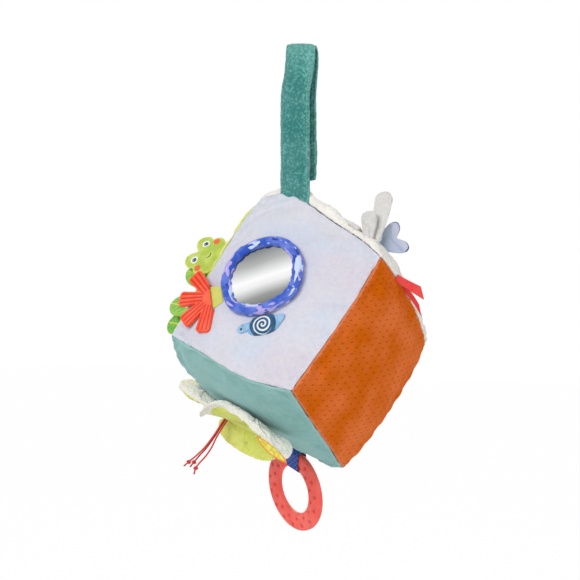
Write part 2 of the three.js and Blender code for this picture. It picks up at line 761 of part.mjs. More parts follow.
function redRibbons() {
  const ribbon = {
    width: redRibbonWidth, length: redRibbonLength, thickness: ribbonThickness, outline: stripShares,
    material: ribbonRed, range: [-12, 25],
  };
  sewnTag({
    ...ribbon, name: 'red_ribbon_upper', shares: [1, -0.55, 1], across: [-0.15, 0.4, -0.9],
    along: [0.8, 0.595, 0.03],
  });
  sewnTag({
    ...ribbon, name: 'red_ribbon_lower', shares: [1, -0.34, 1], across: [-0.3, 0.6, -0.6],
    along: [0.73, 0.64, -0.22],
  });
}

// how far a wing sags below its crest at a place along it, less near its root
function sagAt(x, y) {
  const fore = nearWingForeDroop * (x / nearWingForeReach) ** 2;
  const hind = nearWingHindDroop * (x / nearWingHindReach) ** 2;
  return (x < 0 ? fore : hind) * THREE.MathUtils.clamp(2 * y / nearWingLength, 0, 1);
}

// the butterfly's body lies on the bottom panel, and its wings are hinged along the body
function butterfly() {
  const seat = seatOn(faces.bottom, butterflyShares);
  const middle = butterflyBodyRadius + softGap;
  const body = new THREE.SphereGeometry(butterflyBodyRadius, 12, 10);
  const stretched = shaped(body, (p) => {
    const along = p.y / butterflyBodyRadius;
    const slim = 1 - bodyTaperShare * along * along * Math.sign(along);
    return vec(along * butterflyBodyLength / 2, -p.x * slim, p.z * slim);
  });
  piece('butterfly_body', trimToBlock(moved(stretched, 0, 0, middle), seat), velourLime, seat);
  const rootGap = rootReach + softGap;
  nearWing(seat, vec(-wingCrest, butterflyBodyRadius + rootGap, middle));
  farWing(seat, vec(0, -butterflyBodyRadius - rootGap, middle));
  forewing(seat, vec(-butterflyBodyLength / 2 - rootGap, -forewingAside, middle));
  return seat;
}

function wing(hinge, name, range, outline, heart, thickness, bend) {
  hinge.userData = { hinge: name, range };
  hinge.updateMatrixWorld(true);
  const form = cushion(outline, heart, thickness / 2, thickness / 2, tagEdge, bend);
  piece(name, trimToBlock(form, hinge), velourLime, hinge);
}

function nearWing(seat, root) {
  const hinge = group(seat, root);
  const points = nearWingShares.map(([x, y]) => {
    return [x * (x < 0 ? nearWingForeReach : nearWingHindReach), y * nearWingLength];
  });
  const outline = outlineOf(points, 1, 1, finePointCount);
  const heart = vec((nearWingHindReach - nearWingForeReach) / 2, nearWingLength / 2, 0);
  const droop = (p) => vec(p.x, p.y, p.z + sagAt(p.x, p.y));
  wing(hinge, 'butterfly_wing_near', [0, 40], outline, heart, wingThickness, droop);
  crinkleWing(hinge);
}

function farWing(seat, root) {
  const hinge = group(seat, root);
  hinge.rotation.set(rad(farWingTilt), 0, Math.PI, 'ZXY');
  const outline = outlineOf(farWingShares, 2 * farWingReach, farWingLength);
  wing(hinge, 'butterfly_wing_far', [-25, 0], outline, vec(0, farWingLength / 2, 0), farWingThickness);
}

function forewing(seat, root) {
  const hinge = frameAt(seat, root, vec(0.1, 0.8, 0.6), vec(-0.98, 0.1, -0.17));
  const outline = outlineOf(lobeShares, forewingWidth, forewingLength);
  wing(hinge, 'butterfly_forewing', [0, 25], outline, vec(0, forewingLength / 2, 0), wingThickness);
}

// the crinkle wing hangs from the rim of the near wing's hind end and follows its slope
function crinkleWing(nearHinge) {
  const place = vec(crinklePlace, crinkleRoot, sagAt(crinklePlace, nearWingLength));
  const hinge = frameAt(nearHinge, place, vec(0.92, -0.38, 0.39), vec(0, 0.35, 0.94));
  const outline = outlineOf(crinkleShares, crinkleWidth, crinkleLength);
  const half = crinkleThickness / 2;
  const foil = cushion(outline, vec(0, crinkleLength / 2, 0), half, half, tagEdge);
  piece('crinkle_wing', foil, crinkleYellow, hinge);
}

// the ribbon loop sewn in the lower back seam, and the teether ring that hangs through it
function ring() {
  const hinge = hingeOn(vec(...ringShares), vec(0.973, -0.199, -0.117), vec(0.075, 0.752, -0.655));
  hinge.userData = { hinge: 'ring_ribbon', range: [-20, 20] };
  hinge.updateMatrixWorld(true);
  const tubeWidth = ringOuterRadius - ringHoleRadius;
  const sag = ringOuterRadius - Math.sqrt(ringOuterRadius ** 2 - (ringRibbonWidth / 2) ** 2);
  const innerHalf = ringThickness / 2 + ringPlay;
  const outerHalf = innerHalf + ribbonThickness;
  const nearEnd = ringRootLength - ringPlay;
  const farMiddle = ringRootLength + tubeWidth + sag + ringPlay - innerHalf;
  const shoulder = nearEnd + innerHalf / 2;
  const outside = new THREE.Shape();
  outside.moveTo(rootReach, rootReach / 2);
  outside.absarc(0, 0, rootReach, 0, -Math.PI, true);
  outside.lineTo(-rootReach, rootReach / 2);
  outside.lineTo(-outerHalf, shoulder);
  outside.absarc(0, farMiddle, outerHalf, Math.PI, 0, true);
  outside.lineTo(outerHalf, shoulder);
  const space = new THREE.Path();
  space.moveTo(0, nearEnd - innerHalf / 2);
  space.lineTo(innerHalf, shoulder);
  space.absarc(0, farMiddle, innerHalf, 0, Math.PI, false);
  space.lineTo(-innerHalf, shoulder);
  outside.holes.push(space);
  const options = { depth: ringRibbonWidth, bevelEnabled: false, curveSegments: 8 };
  const loop = new THREE.ExtrudeGeometry(outside, options).translate(0, 0, -ringRibbonWidth / 2);
  loop.applyMatrix4(new THREE.Matrix4().makeBasis(vec(0, 0, 1), vec(0, 1, 0), vec(-1, 0, 0)));
  piece('ring_ribbon', trimToBlock(loop, hinge), ribbonBlue, hinge);

  const spin = group(hinge, vec(0, ringRootLength + ringOuterRadius, 0));
  spin.userData = { spin: 'teether_ring' };
  piece('teether_ring', turned(ringSection(tubeWidth / 2), 48), siliconeCoral, spin);
}

// the ring's cross section, a rounded oblong, as [radius, height] points
function ringSection(halfWidth) {
  const points = [];
  const rounded = (value) => Math.sign(value) * Math.abs(value) ** ringSquareness;
  for (let i = 0; i < ringSectionSides; i += 1) {
    const angle = (i / ringSectionSides) * 2 * Math.PI;
    const x = rounded(Math.cos(angle)) * halfWidth;
    points.push([ringHoleRadius + halfWidth + x, rounded(Math.sin(angle)) * ringThickness / 2]);
  }
  return [...points, points[0]];
}

function antennaStrings() {
  const section = new THREE.Shape();
  for (let i = 0; i < stringSides; i += 1) {
    const angle = (i / stringSides) * 2 * Math.PI;
    const corner = [Math.cos(angle), Math.sin(angle)].map((share) => share * stringDiameter / 2);
    if (i === 0) {
      section.moveTo(...corner);
    } else {
      section.lineTo(...corner);
    }
  }
  section.closePath();
  for (const [side, points] of Object.entries(stringRoutes)) {
    const route = new THREE.CatmullRomCurve3(points.map((p) => vec(...p)), false, 'centripetal');
    const steps = Math.round(route.getLength() / stringStep);
    const tube = new THREE.ExtrudeGeometry(section, { steps, extrudePath: route, bevelEnabled: false });
    piece(`antenna_string_${side}`, tube, stringRed, model);
  }
}

hangBlock();
panels();
filling();
rattle();
strap();
const mirrorSeat = mirror();
fan(mirrorSeat);
snail(mirrorSeat);
leftTags();
bug();
redRibbons();
butterfly();
ring();
antennaStrings();

export default model;
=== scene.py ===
"""The looks of a soft hanging activity block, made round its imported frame. Lengths are metres."""

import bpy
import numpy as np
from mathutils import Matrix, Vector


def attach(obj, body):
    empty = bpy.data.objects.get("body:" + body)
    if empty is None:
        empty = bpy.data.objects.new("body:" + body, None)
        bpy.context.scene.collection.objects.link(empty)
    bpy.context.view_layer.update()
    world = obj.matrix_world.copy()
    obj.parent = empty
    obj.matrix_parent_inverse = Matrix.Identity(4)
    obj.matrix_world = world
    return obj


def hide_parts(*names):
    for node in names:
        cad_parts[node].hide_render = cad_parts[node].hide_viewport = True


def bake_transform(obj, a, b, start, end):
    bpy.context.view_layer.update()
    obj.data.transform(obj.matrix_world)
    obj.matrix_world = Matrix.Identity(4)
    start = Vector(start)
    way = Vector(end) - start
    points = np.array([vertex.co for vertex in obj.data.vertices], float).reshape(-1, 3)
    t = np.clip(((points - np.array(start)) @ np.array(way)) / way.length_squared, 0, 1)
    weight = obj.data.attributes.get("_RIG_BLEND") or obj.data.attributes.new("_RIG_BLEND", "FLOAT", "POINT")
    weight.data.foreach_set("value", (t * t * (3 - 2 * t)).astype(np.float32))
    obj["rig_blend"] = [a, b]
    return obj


bl_info = {
    "name": "Soft activity block",
    "version": (1, 0, 0),
    "blender": (4, 5, 0),
    "location": "View3D > Sidebar > Activity Block",
    "description": "Dresses a stuffed fabric block with its strap, mirror, tags and teethers",
    "category": "Object",
}

import math

import bmesh
import bpy
import numpy as np
from bpy.props import FloatProperty, FloatVectorProperty, IntProperty, PointerProperty
from mathutils import Matrix, Vector, noise

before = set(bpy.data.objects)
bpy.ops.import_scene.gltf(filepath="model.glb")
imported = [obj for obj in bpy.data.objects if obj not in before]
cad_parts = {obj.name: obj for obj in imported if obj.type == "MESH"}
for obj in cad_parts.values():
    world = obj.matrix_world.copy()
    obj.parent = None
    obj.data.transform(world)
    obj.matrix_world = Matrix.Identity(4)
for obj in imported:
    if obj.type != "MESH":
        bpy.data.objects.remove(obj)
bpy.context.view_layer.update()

MM = 0.001
SOFT_GAP = 0.3 * MM  # clearance that resting pieces keep
ROOT_REACH = 1 * MM  # how far a tag's rounded root reaches past its hinge axis
TAG_EDGE = 1 * MM  # thickness along a tag's outline
GRID_CROWDING = 1.2  # radians: how much closer a panel's grid lies near its seams
NUDGE_SHARE = 0.15  # step along a face that its slope is measured over
HANG_TURN, HANG_TIP, HANG_ROLL = 9.88, -33.04, 21.86  # degrees about Z, X and Y
STRAP_SEAM_SHARE = -0.39
STRAP_PULL_SHARES = (-0.56, -1, 1)
SAG_SHARES = (-1, -0.35, -1)
MIRROR_SHARES = (-0.11, 0.05)
BUTTERFLY_SHARES = (-0.1, -0.19)
RING_SHARES = (0.17, 1, -1)

# where the camera stood for the photograph
CAMERA_PLACE = (0.6713, -0.9792, -0.2186)
CAMERA_TURN = 34.8  # degrees about Z, from looking along +Y
CAMERA_FIELD = 24.97  # degrees, across the picture


def tone(text):
    """A colour of the usual six digits, as the shaders count it."""
    values = [int(text[i:i + 2], 16) / 255 for i in (1, 3, 5)]
    return tuple(v / 12.92 if v <= 0.04045 else ((v + 0.055) / 1.055) ** 2.4 for v in values)


def length_prop(name, value, description):
    return FloatProperty(name=name, default=value, min=0, unit="LENGTH", precision=5, description=description)


def colour_prop(name, text, description):
    return FloatVectorProperty(
        name=name, default=tone(text), size=3, min=0, max=1, subtype="COLOR", description=description
    )


class BlockSizes(bpy.types.PropertyGroup):
    half_edge: length_prop("Half edge", 0.070, "Half of one sewn edge")
    crown_rise: length_prop("Crown", 0.016, "How far the filling lifts the middle of a panel")
    corner_reach: length_prop("Corner", 0.002, "How far a corner points out past the sewn edges")
    seam_dip: length_prop("Seam dip", 0.0024, "Depth of the groove along a seam")
    seam_round: length_prop("Seam round", 0.009, "Width over which a panel rounds into its seam")
    pile_rise: length_prop("Plush pile", 0.010, "Height of the top panel's thick plush")
    pile_round: length_prop("Plush round", 0.008, "Width over which the plush rises from its seam")
    pull_rise: length_prop("Strap pull", 0.029, "How far the strap lifts its seam")
    pull_reach: length_prop("Pull reach", 0.050, "How far that lift spreads")
    sag_rise: length_prop("Sag", 0.006, "How far the filling pushes the lower left seam out")
    sag_reach: length_prop("Sag reach", 0.042, "How far that bulge spreads")
    panel_thickness: length_prop("Cloth", 0.002, "Thickness of a panel")
    panel_cells: IntProperty(name="Panel cells", default=52, min=8, description="Grid cells along a panel")
    slack_share: FloatProperty(
        name="Slack", default=0.05, min=0, max=0.2, description="Share by which the cloth is cut larger"
    )
    strap_width: length_prop("Strap width", 0.031, "Width of the hanging strap")
    strap_thickness: length_prop("Strap thickness", 0.005, "Thickness of one run of the strap")
    strap_gap: length_prop("Strap gap", 0.0056, "Space between the strap's two runs")
    strap_drop: length_prop("Strap drop", 0.1306, "Inside top of the fold down to the seam")
    strap_tail_drop: length_prop("Tail drop", 0.118, "Inside top of the fold down to the tail's end")
    frame_radius: length_prop("Mirror frame radius", 0.034, "Middle of the mirror's padded ring")
    frame_tube: length_prop("Mirror frame tube", 0.0052, "Radius of the padded ring's tube")
    mirror_radius: length_prop("Mirror radius", 0.031, "Radius of the mirror")
    ring_outer: length_prop("Teether ring radius", 0.040, "Outer radius of the teether ring")
    ring_hole: length_prop("Teether hole radius", 0.023, "Radius of the hole in the teether ring")
    ring_thickness: length_prop("Teether thickness", 0.008, "Thickness of the teether ring")
    ring_ribbon_width: length_prop("Ring ribbon width", 0.017, "Width of the ribbon that holds the ring")
    string_diameter: length_prop("String diameter", 0.0014, "Diameter of the butterfly's strings")


class BlockColours(bpy.types.PropertyGroup):
    teal: colour_prop("Strap", "#3d8c87", "Plush of the strap")
    aqua: colour_prop("Bottom", "#83b9b6", "Velour of the bottom and back panels")
    lavender: colour_prop("Front", "#d4d3dd", "Velour of the front panel")
    orange: colour_prop("Side", "#e46a00", "Knit of the right panel")
    cream: colour_prop("Top", "#f9f5ee", "Plush of the top panel")
    lime: colour_prop("Lime", "#dde366", "Velour of the left panel and the butterfly's lower side")
    grey: colour_prop("Plush bug", "#dcdad6", "Plush of the bug")
    terry: colour_prop("Terry", "#fcf7ea", "Terry of the butterfly's upper side")
    blue: colour_prop("Mirror ring", "#2a5cd2", "Print round the mirror")
    coral: colour_prop("Teether ring", "#ff5e50", "Silicone of the ring")
    fan: colour_prop("Fan", "#ff511c", "Silicone of the fan")
    red: colour_prop("Red", "#f01a12", "Ribbons and strings")


def sizes():
    return bpy.context.scene.block_sizes


def colours():
    return bpy.context.scene.block_colours


# the block's soft surface

def eased(distance, width):
    return np.clip(1 - distance / width, 0, 1) ** 2


def block_turn():
    turns = [(HANG_TURN, "Z"), (HANG_TIP, "X"), (HANG_ROLL, "Y")]
    turn = Matrix.Identity(4)
    for angle, axis in turns:
        turn = turn @ Matrix.Rotation(math.radians(angle), 4, axis)
    return turn


def to_seam(q):
    return sizes().half_edge * (1 - np.sort(np.abs(q), axis=1)[:, 1])


def skin(q, depth=0.0, pile=0.0):
    """Points of the stuffed surface, in the block's own axes, for places on a unit cube."""
    s = sizes()
    q = np.asarray(q, float).reshape(-1, 3)
    size = np.linalg.norm(q, axis=1)
    corner = (size ** 2 - 1) / 2
    groove = s.seam_dip * eased(to_seam(q), s.seam_round)
    lift = s.crown_rise * (1 - corner) + s.corner_reach * corner ** 3 - groove
    point = q * (s.half_edge + lift / size)[:, None]
    up = np.array(block_turn().to_3x3().inverted() @ Vector((0, 0, 1)))
    swells = [
        (STRAP_PULL_SHARES, s.pull_rise, s.pull_reach, up),
        (SAG_SHARES, s.sag_rise, s.sag_reach, np.array((-1, 0, -1)) / math.sqrt(2)),
    ]
    for middle, rise, reach, way in swells:
        near = np.exp(-((q - middle) ** 2).sum(1) * (s.half_edge / reach) ** 2)
        point += way * (rise * near)[:, None]
    top = np.isclose(q[:, 2], 1)
    point[top, 2] += pile * np.sqrt(1 - eased(to_seam(q[top]), s.pile_round))
    return point * (1 - depth / s.half_edge)


def outward(q):
    """The direction that the skin faces at one place of the unit cube."""
    q = np.array(q, float)
    total = np.zeros(3)
    here = skin(q)[0]
    for axis in range(3):
        if abs(q[axis]) == 1:
            slopes = []
            for other in ((axis + 1) % 3, (axis + 2) % 3):
                way = -1 if q[other] > 0 else 1
                near = q.copy()
                near[other] += way * NUDGE_SHARE
                slopes.append((skin(near)[0] - here) * way)
            normal = np.cross(*slopes)
            total += normal / np.linalg.norm(normal) * q[axis]
    return total / np.linalg.norm(total)


def block_matrix():
    """From the block's own axes to the frame: the seam hangs under the strap's front run."""
    s = sizes()
    turn = block_turn()
    seam = turn @ Vector(skin((STRAP_SEAM_SHARE, -1, 1))[0])
    place = Vector((0, -(s.strap_gap + s.strap_thickness) / 2, -s.strap_drop)) - seam
    return Matrix.Translation(place) @ turn


def frame_at(position, across, along):
    y = Vector(along).normalized()
    x = Vector(across)
    x = (x - y * x.dot(y)).normalized()
    turn = Matrix((x, y, x.cross(y))).transposed().to_4x4()
    return Matrix.Translation(Vector(position)) @ turn


def hinge_on(shares, across, along, pile=0.0):
    """Where a tag is sewn: X is its hinge and Y is the way that it grows."""
    seat = skin(shares, 0, pile)[0] + outward(shares) * (ROOT_REACH + SOFT_GAP)
    return block_matrix() @ frame_at(seat, across, along)


# the six faces of the unit cube: across x up = outward
FACES = {
    "front": ((0, -1, 0), (1, 0, 0), (0, 0, 1)),
    "right": ((1, 0, 0), (0, 1, 0), (0, 0, 1)),
    "bottom": ((0, 0, -1), (1, 0, 0), (0, -1, 0)),
    "top": ((0, 0, 1), (1, 0, 0), (0, 1, 0)),
    "left": ((-1, 0, 0), (0, -1, 0), (0, 0, 1)),
    "back": ((0, 1, 0), (-1, 0, 0), (0, 0, 1)),
}


def on_face(face, u, v):
    out, across, up = (np.array(part, float) for part in FACES[face])
    return out + across * u + up * v


def seat_on(face, shares):
    q = on_face(face, *shares)
    out = Vector(outward(q))
    across, up = Vector(FACES[face][1]), Vector(FACES[face][2])
    return frame_at(skin(q)[0], across, up - out * up.dot(out))


def skin_height(face, seat, x, y):
    """The height of the skin over a seat's plane at a place given in the seat's X and Y."""
    s = sizes()
    to_seat = seat.inverted()
    u = v = 0
    for _ in range(12):
        point = to_seat @ Vector(skin(on_face(face, u, v))[0])
        u += (x - point.x) / (s.half_edge + s.crown_rise)
        v += (y - point.y) / (s.half_edge + s.crown_rise)
    return point.z


# meshes

RIM_SHARES = (0.985, 0.95, 0.89, 0.8, 0.69, 0.56, 0.42, 0.27, 0.12)


def smooth_outline(shares, width, length, count):
    """Evenly spaced points of a smooth closed curve through points given as shares."""
    knots = np.array([(x * width, y * length) for x, y in shares])
    dense = []
    total = len(knots)
    for i in range(total):
        p = [knots[(i + k - 1) % total] for k in range(4)]
        t = [0.0]
        for a, b in zip(p, p[1:]):
            t.append(t[-1] + max(np.linalg.norm(b - a), 1e-9) ** 0.5)
        for share in np.arange(16) / 16:
            at = t[1] + (t[2] - t[1]) * share
            level = p
            for order in (1, 2, 3):
                level = [
                    (level[k] * (t[k + order] - at) + level[k + 1] * (at - t[k])) / (t[k + order] - t[k])
                    for k in range(len(level) - 1)
                ] if order != 2 else [
                    (level[k] * (t[k + 2] - at) + level[k + 1] * (at - t[k])) / (t[k + 2] - t[k])
                    for k in range(2)
                ]
            dense.append(level[0])
    dense = np.array(dense + [dense[0]])
    walked = np.concatenate([[0], np.cumsum(np.linalg.norm(np.diff(dense, axis=0), axis=1))])
    at = np.linspace(0, walked[-1], count, endpoint=False)
    return [Vector((np.interp(a, walked, dense[:, 0]), np.interp(a, walked, dense[:, 1]))) for a in at]


def mirrored(shares):
    return [*shares, *[(-x, y) for x, y in reversed(shares) if x != 0]]


LOBE_SHARES = mirrored([
    (0, -0.02), (0.14, -0.02), (0.27, 0.15), (0.45, 0.5), (0.5, 0.8), (0.36, 0.96), (0, 1),
])
BODY_LOBE_SHARES = mirrored([(0, -0.02), (0.3, -0.02), (0.5, 0.25), (0.42, 0.65), (0, 1)])
LEAF_SHARES = mirrored([(0.22, -0.04), (0.45, 0.25), (0.48, 0.55), (0.3, 0.85), (0, 1)])
FROG_SHARES = mirrored([
    (0.34, -0.03), (0.42, 0.1), (0.5, 0.28), (0.47, 0.48), (0.4, 0.56), (0.43, 0.72), (0.36, 0.92),
    (0.22, 1), (0.08, 0.9), (0, 0.77),
])
SNAIL_SHARES = [
    (0.2, -0.03), (0.3, 0.14), (0.42, 0.16), (0.54, 0.3), (0.55, 0.52), (0.47, 0.66), (0.37, 0.6),
    (0.28, 0.86), (0.12, 1), (-0.08, 1), (-0.24, 0.86), (-0.34, 0.58), (-0.43, 0.28), (-0.42, 0.08),
    (-0.3, 0.1), (-0.18, -0.03),
]
TAIL_SHARES = mirrored([(0.1, -0.02), (0.2, 0.1), (0.42, 0.5), (0.5, 0.82), (0.42, 1), (0.24, 0.98), (0, 0.74)])
NEAR_WING_SHARES = [
    (0, -0.03), (0.25, -0.03), (0.5, -0.03), (0.85, 0.05), (1, 0.3), (0.88, 0.6), (0.62, 0.86),
    (0.3, 1), (-0.1, 1), (-0.55, 0.96), (-0.92, 0.72), (-1, 0.35), (-0.7, -0.03), (-0.35, -0.03),
]
FAR_WING_SHARES = mirrored([(0, -0.03), (0.3, -0.03), (0.48, 0.3), (0.44, 0.7), (0.24, 0.96), (0, 1)])
CRINKLE_SHARES = mirrored([
    (0, -0.16), (0.2, -0.12), (0.38, 0.1), (0.52, 0.42), (0.36, 0.78), (0.18, 1), (0, 1.05),
])


def draw_out(bm, edges):
    """Extrudes a ring of edges in place: its new vertices and its new ring."""
    made = bmesh.ops.extrude_edge_only(bm, edges=edges)["geom"]
    verts = [part for part in made if isinstance(part, bmesh.types.BMVert)]
    fresh = set(verts)
    ring = [part for part in made if isinstance(part, bmesh.types.BMEdge) and set(part.verts) <= fresh]
    return verts, ring


def cushion(outline, heart, rise, fall, edge=TAG_EDGE, fullness=2.0):
    """A closed cushion: its outline swells to a crown on both sides. The rim layer is 1 at its edge."""
    bm = bmesh.new()
    rim = bm.verts.layers.float.new("rim")
    heart = Vector(heart)
    bmesh.ops.create_circle(bm, segments=len(outline), radius=1)
    for vert, point in zip(bm.verts, outline):
        vert.co = (point.x, point.y, edge / 2)
        vert[rim] = 1
    upper = bm.edges[:]
    verts, lower = draw_out(bm, upper)
    for vert in verts:
        vert.co.z = -edge / 2
    for ring, height, sign in ((upper, rise, 1), (lower, fall, -1)):
        last = 1
        for share in RIM_SHARES:
            verts, ring = draw_out(bm, ring)
            swell = (1 - share ** fullness) ** (1 / fullness) * (height - edge / 2) + edge / 2
            for vert in verts:
                flat = heart + (vert.co.xy - heart) * (share / last)
                vert.co = (flat.x, flat.y, sign * swell)
                vert[rim] = share
            last = share
        verts, ring = draw_out(bm, ring)
        for vert in verts:
            vert[rim] = 0
        bmesh.ops.pointmerge(bm, verts=verts, merge_co=(heart.x, heart.y, sign * height))
    bmesh.ops.recalc_face_normals(bm, faces=bm.faces)
    lay_flat(bm)
    return bm


def lay_flat(bm, spot=lambda vert: vert.co.xy):
    """Gives each corner the map place that its vertex has now."""
    chart = bm.loops.layers.uv.verify()
    for face in bm.faces:
        for loop in face.loops:
            loop[chart].uv = spot(loop.vert)


def lay_round(bm, around, along, girth):
    """A map that runs round a tube and along it, whole at the place where it closes."""
    chart = bm.loops.layers.uv.verify()
    for face in bm.faces:
        places = [(loop.vert[around], loop.vert[along]) for loop in face.loops]
        for axis, size in ((0, 1), (1, None)):
            values = [place[axis] for place in places]
            if size and max(values) - min(values) > size / 2:
                places = [
                    (place[0] + size if place[0] < size / 2 else place[0], place[1]) for place in places
                ]
        for loop, place in zip(face.loops, places):
            loop[chart].uv = (place[0] * girth, place[1])


def sweep(section, places, closed=False):
    """A tube: a section drawn in X and Y is carried through a list of places."""
    bm = bmesh.new()
    around = bm.verts.layers.float.new("around")
    along = bm.verts.layers.float.new("along")
    bmesh.ops.create_circle(bm, segments=len(section), radius=1)
    girth = 0
    for i, (vert, point) in enumerate(zip(bm.verts, section)):
        girth += (Vector(point) - Vector(section[i - 1])).length
        vert.co = places[0] @ Vector((point[0], point[1], 0))
        vert[around] = i / len(section)
    first = bm.edges[:]
    ring = first
    travelled = 0
    steps = list(zip(places, places[1:] + places[:1] if closed else places[1:]))
    for before, after in steps:
        travelled += (after.translation - before.translation).length
        verts, ring = draw_out(bm, ring)
        bmesh.ops.transform(bm, matrix=after @ before.inverted(), verts=verts)
        for vert in verts:
            vert[along] = travelled
    lay_round(bm, around, along, girth)
    if closed:
        bmesh.ops.remove_doubles(bm, verts=bm.verts, dist=1e-6)
    else:
        for end in (first, ring):
            bmesh.ops.contextual_create(bm, geom=end)
    bmesh.ops.recalc_face_normals(bm, faces=bm.faces)
    return bm


def round_section(radius_x, radius_y, count, power=1.0):
    """An oval section; a power under 1 squares it off."""
    points = []
    for i in range(count):
        c, s = math.cos(2 * math.pi * i / count), math.sin(2 * math.pi * i / count)
        points.append((
            math.copysign(abs(c) ** power, c) * radius_x, math.copysign(abs(s) ** power, s) * radius_y
        ))
    return points


def along_path(points, turns=0.0, closed=False):
    """A place at each point of a path: Z follows the path, with a steady twist."""
    points = [Vector(p) for p in points]
    count = len(points)
    places = []
    side = None
    for i, point in enumerate(points):
        if closed:
            way = points[(i + 1) % count] - points[i - 1]
        else:
            way = points[min(i + 1, count - 1)] - points[max(i - 1, 0)]
        way.normalize()
        if side is None:
            side = way.orthogonal().normalized()
        side = (side - way * side.dot(way)).normalized()
        turn = Matrix((side, way.cross(side), way)).transposed().to_4x4()
        twist = Matrix.Rotation(2 * math.pi * turns * i / count, 4, "Z")
        places.append(Matrix.Translation(point) @ turn @ twist)
    return places


def smooth_path(points, count):
    """Evenly spaced points of a smooth open curve through a few points."""
    p = [Vector(point) for point in points]
    p = [p[0] * 2 - p[1], *p, p[-1] * 2 - p[-2]]
    dense = []
    for i in range(1, len(p) - 2):
        for k in range(24):
            t = k / 24
            dense.append(0.5 * (
                2 * p[i] + (p[i + 1] - p[i - 1]) * t
                + (2 * p[i - 1] - 5 * p[i] + 4 * p[i + 1] - p[i + 2]) * t * t
                + (3 * p[i] - p[i - 1] - 3 * p[i + 1] + p[i + 2]) * t ** 3
            ))
    dense = np.array([*dense, p[-2]])
    walked = np.concatenate([[0], np.cumsum(np.linalg.norm(np.diff(dense, axis=0), axis=1))])
    at = np.linspace(0, walked[-1], count)
    return [Vector([np.interp(a, walked, dense[:, k]) for k in range(3)]) for a in at]


def ripple(place, size, seed=0):
    """Smooth noise from -1 to 1 with bumps of a given size."""
    return noise.noise(Vector(place) / size + Vector((seed * 17.3, seed * 5.1, 0)))


def push_out(bm, amount):
    """Moves each vertex along its normal by what a function says."""
    bm.normal_update()
    moves = [(vert, vert.normal * amount(vert)) for vert in bm.verts]
    for vert, move in moves:
        vert.co += move


def node_copy(name, voxel, rounds=4):
    """A merged, evenly meshed and softened copy of a node's solid."""
    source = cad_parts[name]
    bm = bmesh.new()
    bm.from_mesh(source.data)
    bmesh.ops.remove_doubles(bm, verts=bm.verts, dist=1e-6)
    mesh = bpy.data.meshes.new("draft")
    bm.to_mesh(mesh)
    bm.free()
    draft = bpy.data.objects.new("draft", mesh)
    bpy.context.scene.collection.objects.link(draft)
    remesh = draft.modifiers.new("Even", "REMESH")
    remesh.mode = "VOXEL"
    remesh.voxel_size = voxel
    even = draft.evaluated_get(bpy.context.evaluated_depsgraph_get()).to_mesh()
    bm = bmesh.new()
    bm.from_mesh(even)
    bpy.data.objects.remove(draft)
    bpy.data.meshes.remove(mesh)
    for _ in range(rounds):
        bmesh.ops.smooth_vert(
            bm, verts=bm.verts, factor=0.5, use_axis_x=True, use_axis_y=True, use_axis_z=True
        )
    return bm


def add_piece(name, bm, materials, body, nodes=(), place=None, subdivide=0, cloth=None):
    """Puts a finished mesh in the scene as a named piece that rides on a body."""
    if place is not None:
        bmesh.ops.transform(bm, matrix=place, verts=bm.verts)
    for face in bm.faces:
        face.smooth = True
    mesh = bpy.data.meshes.new(name)
    bm.to_mesh(mesh)
    bm.free()
    piece = bpy.data.objects.new(name, mesh)
    bpy.context.scene.collection.objects.link(piece)
    for material in materials:
        mesh.materials.append(material)
    if cloth:
        cloth(piece)
    if subdivide:
        smooth = piece.modifiers.new("Smooth", "SUBSURF")
        smooth.levels = smooth.render_levels = subdivide
    if body:
        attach(piece, body)
    if nodes:
        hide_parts(*nodes)
    return piece


def puff(piece, pinned, growth, cap, pressure=4.0, last=20):
    """Lets air into a piece with its seams held, and keeps what that does to its cloth."""
    mesh = piece.data
    start = np.array([v.co for v in mesh.vertices])
    seams = piece.vertex_groups.new(name="seams")
    seams.add(pinned, 1.0, "ADD")
    cloth = piece.modifiers.new("Cloth", "CLOTH")
    settings = cloth.settings
    settings.quality = 6
    settings.mass = 0.15
    settings.tension_stiffness = settings.compression_stiffness = 12
    settings.shear_stiffness = 6
    settings.bending_stiffness = 0.15
    settings.vertex_group_mass = "seams"
    settings.pin_stiffness = 1
    settings.shrink_min = -growth
    settings.use_pressure = True
    settings.uniform_pressure_force = pressure
    settings.effector_weights.gravity = 0
    cloth.collision_settings.use_collision = False
    cloth.point_cache.frame_start, cloth.point_cache.frame_end = 1, last
    scene = bpy.context.scene
    for number in range(1, last + 1):
        scene.frame_set(number)
    blown = piece.evaluated_get(bpy.context.evaluated_depsgraph_get()).to_mesh()
    end = np.array([v.co for v in blown.vertices])
    move = end - start
    far = np.linalg.norm(move, axis=1)
    move *= np.minimum(1, cap / np.maximum(far, 1e-9))[:, None]
    piece.modifiers.remove(cloth)
    piece.vertex_groups.remove(seams)
    mesh.vertices.foreach_set("co", (start + move).ravel())
    mesh.update()
    scene.frame_set(1)


# materials

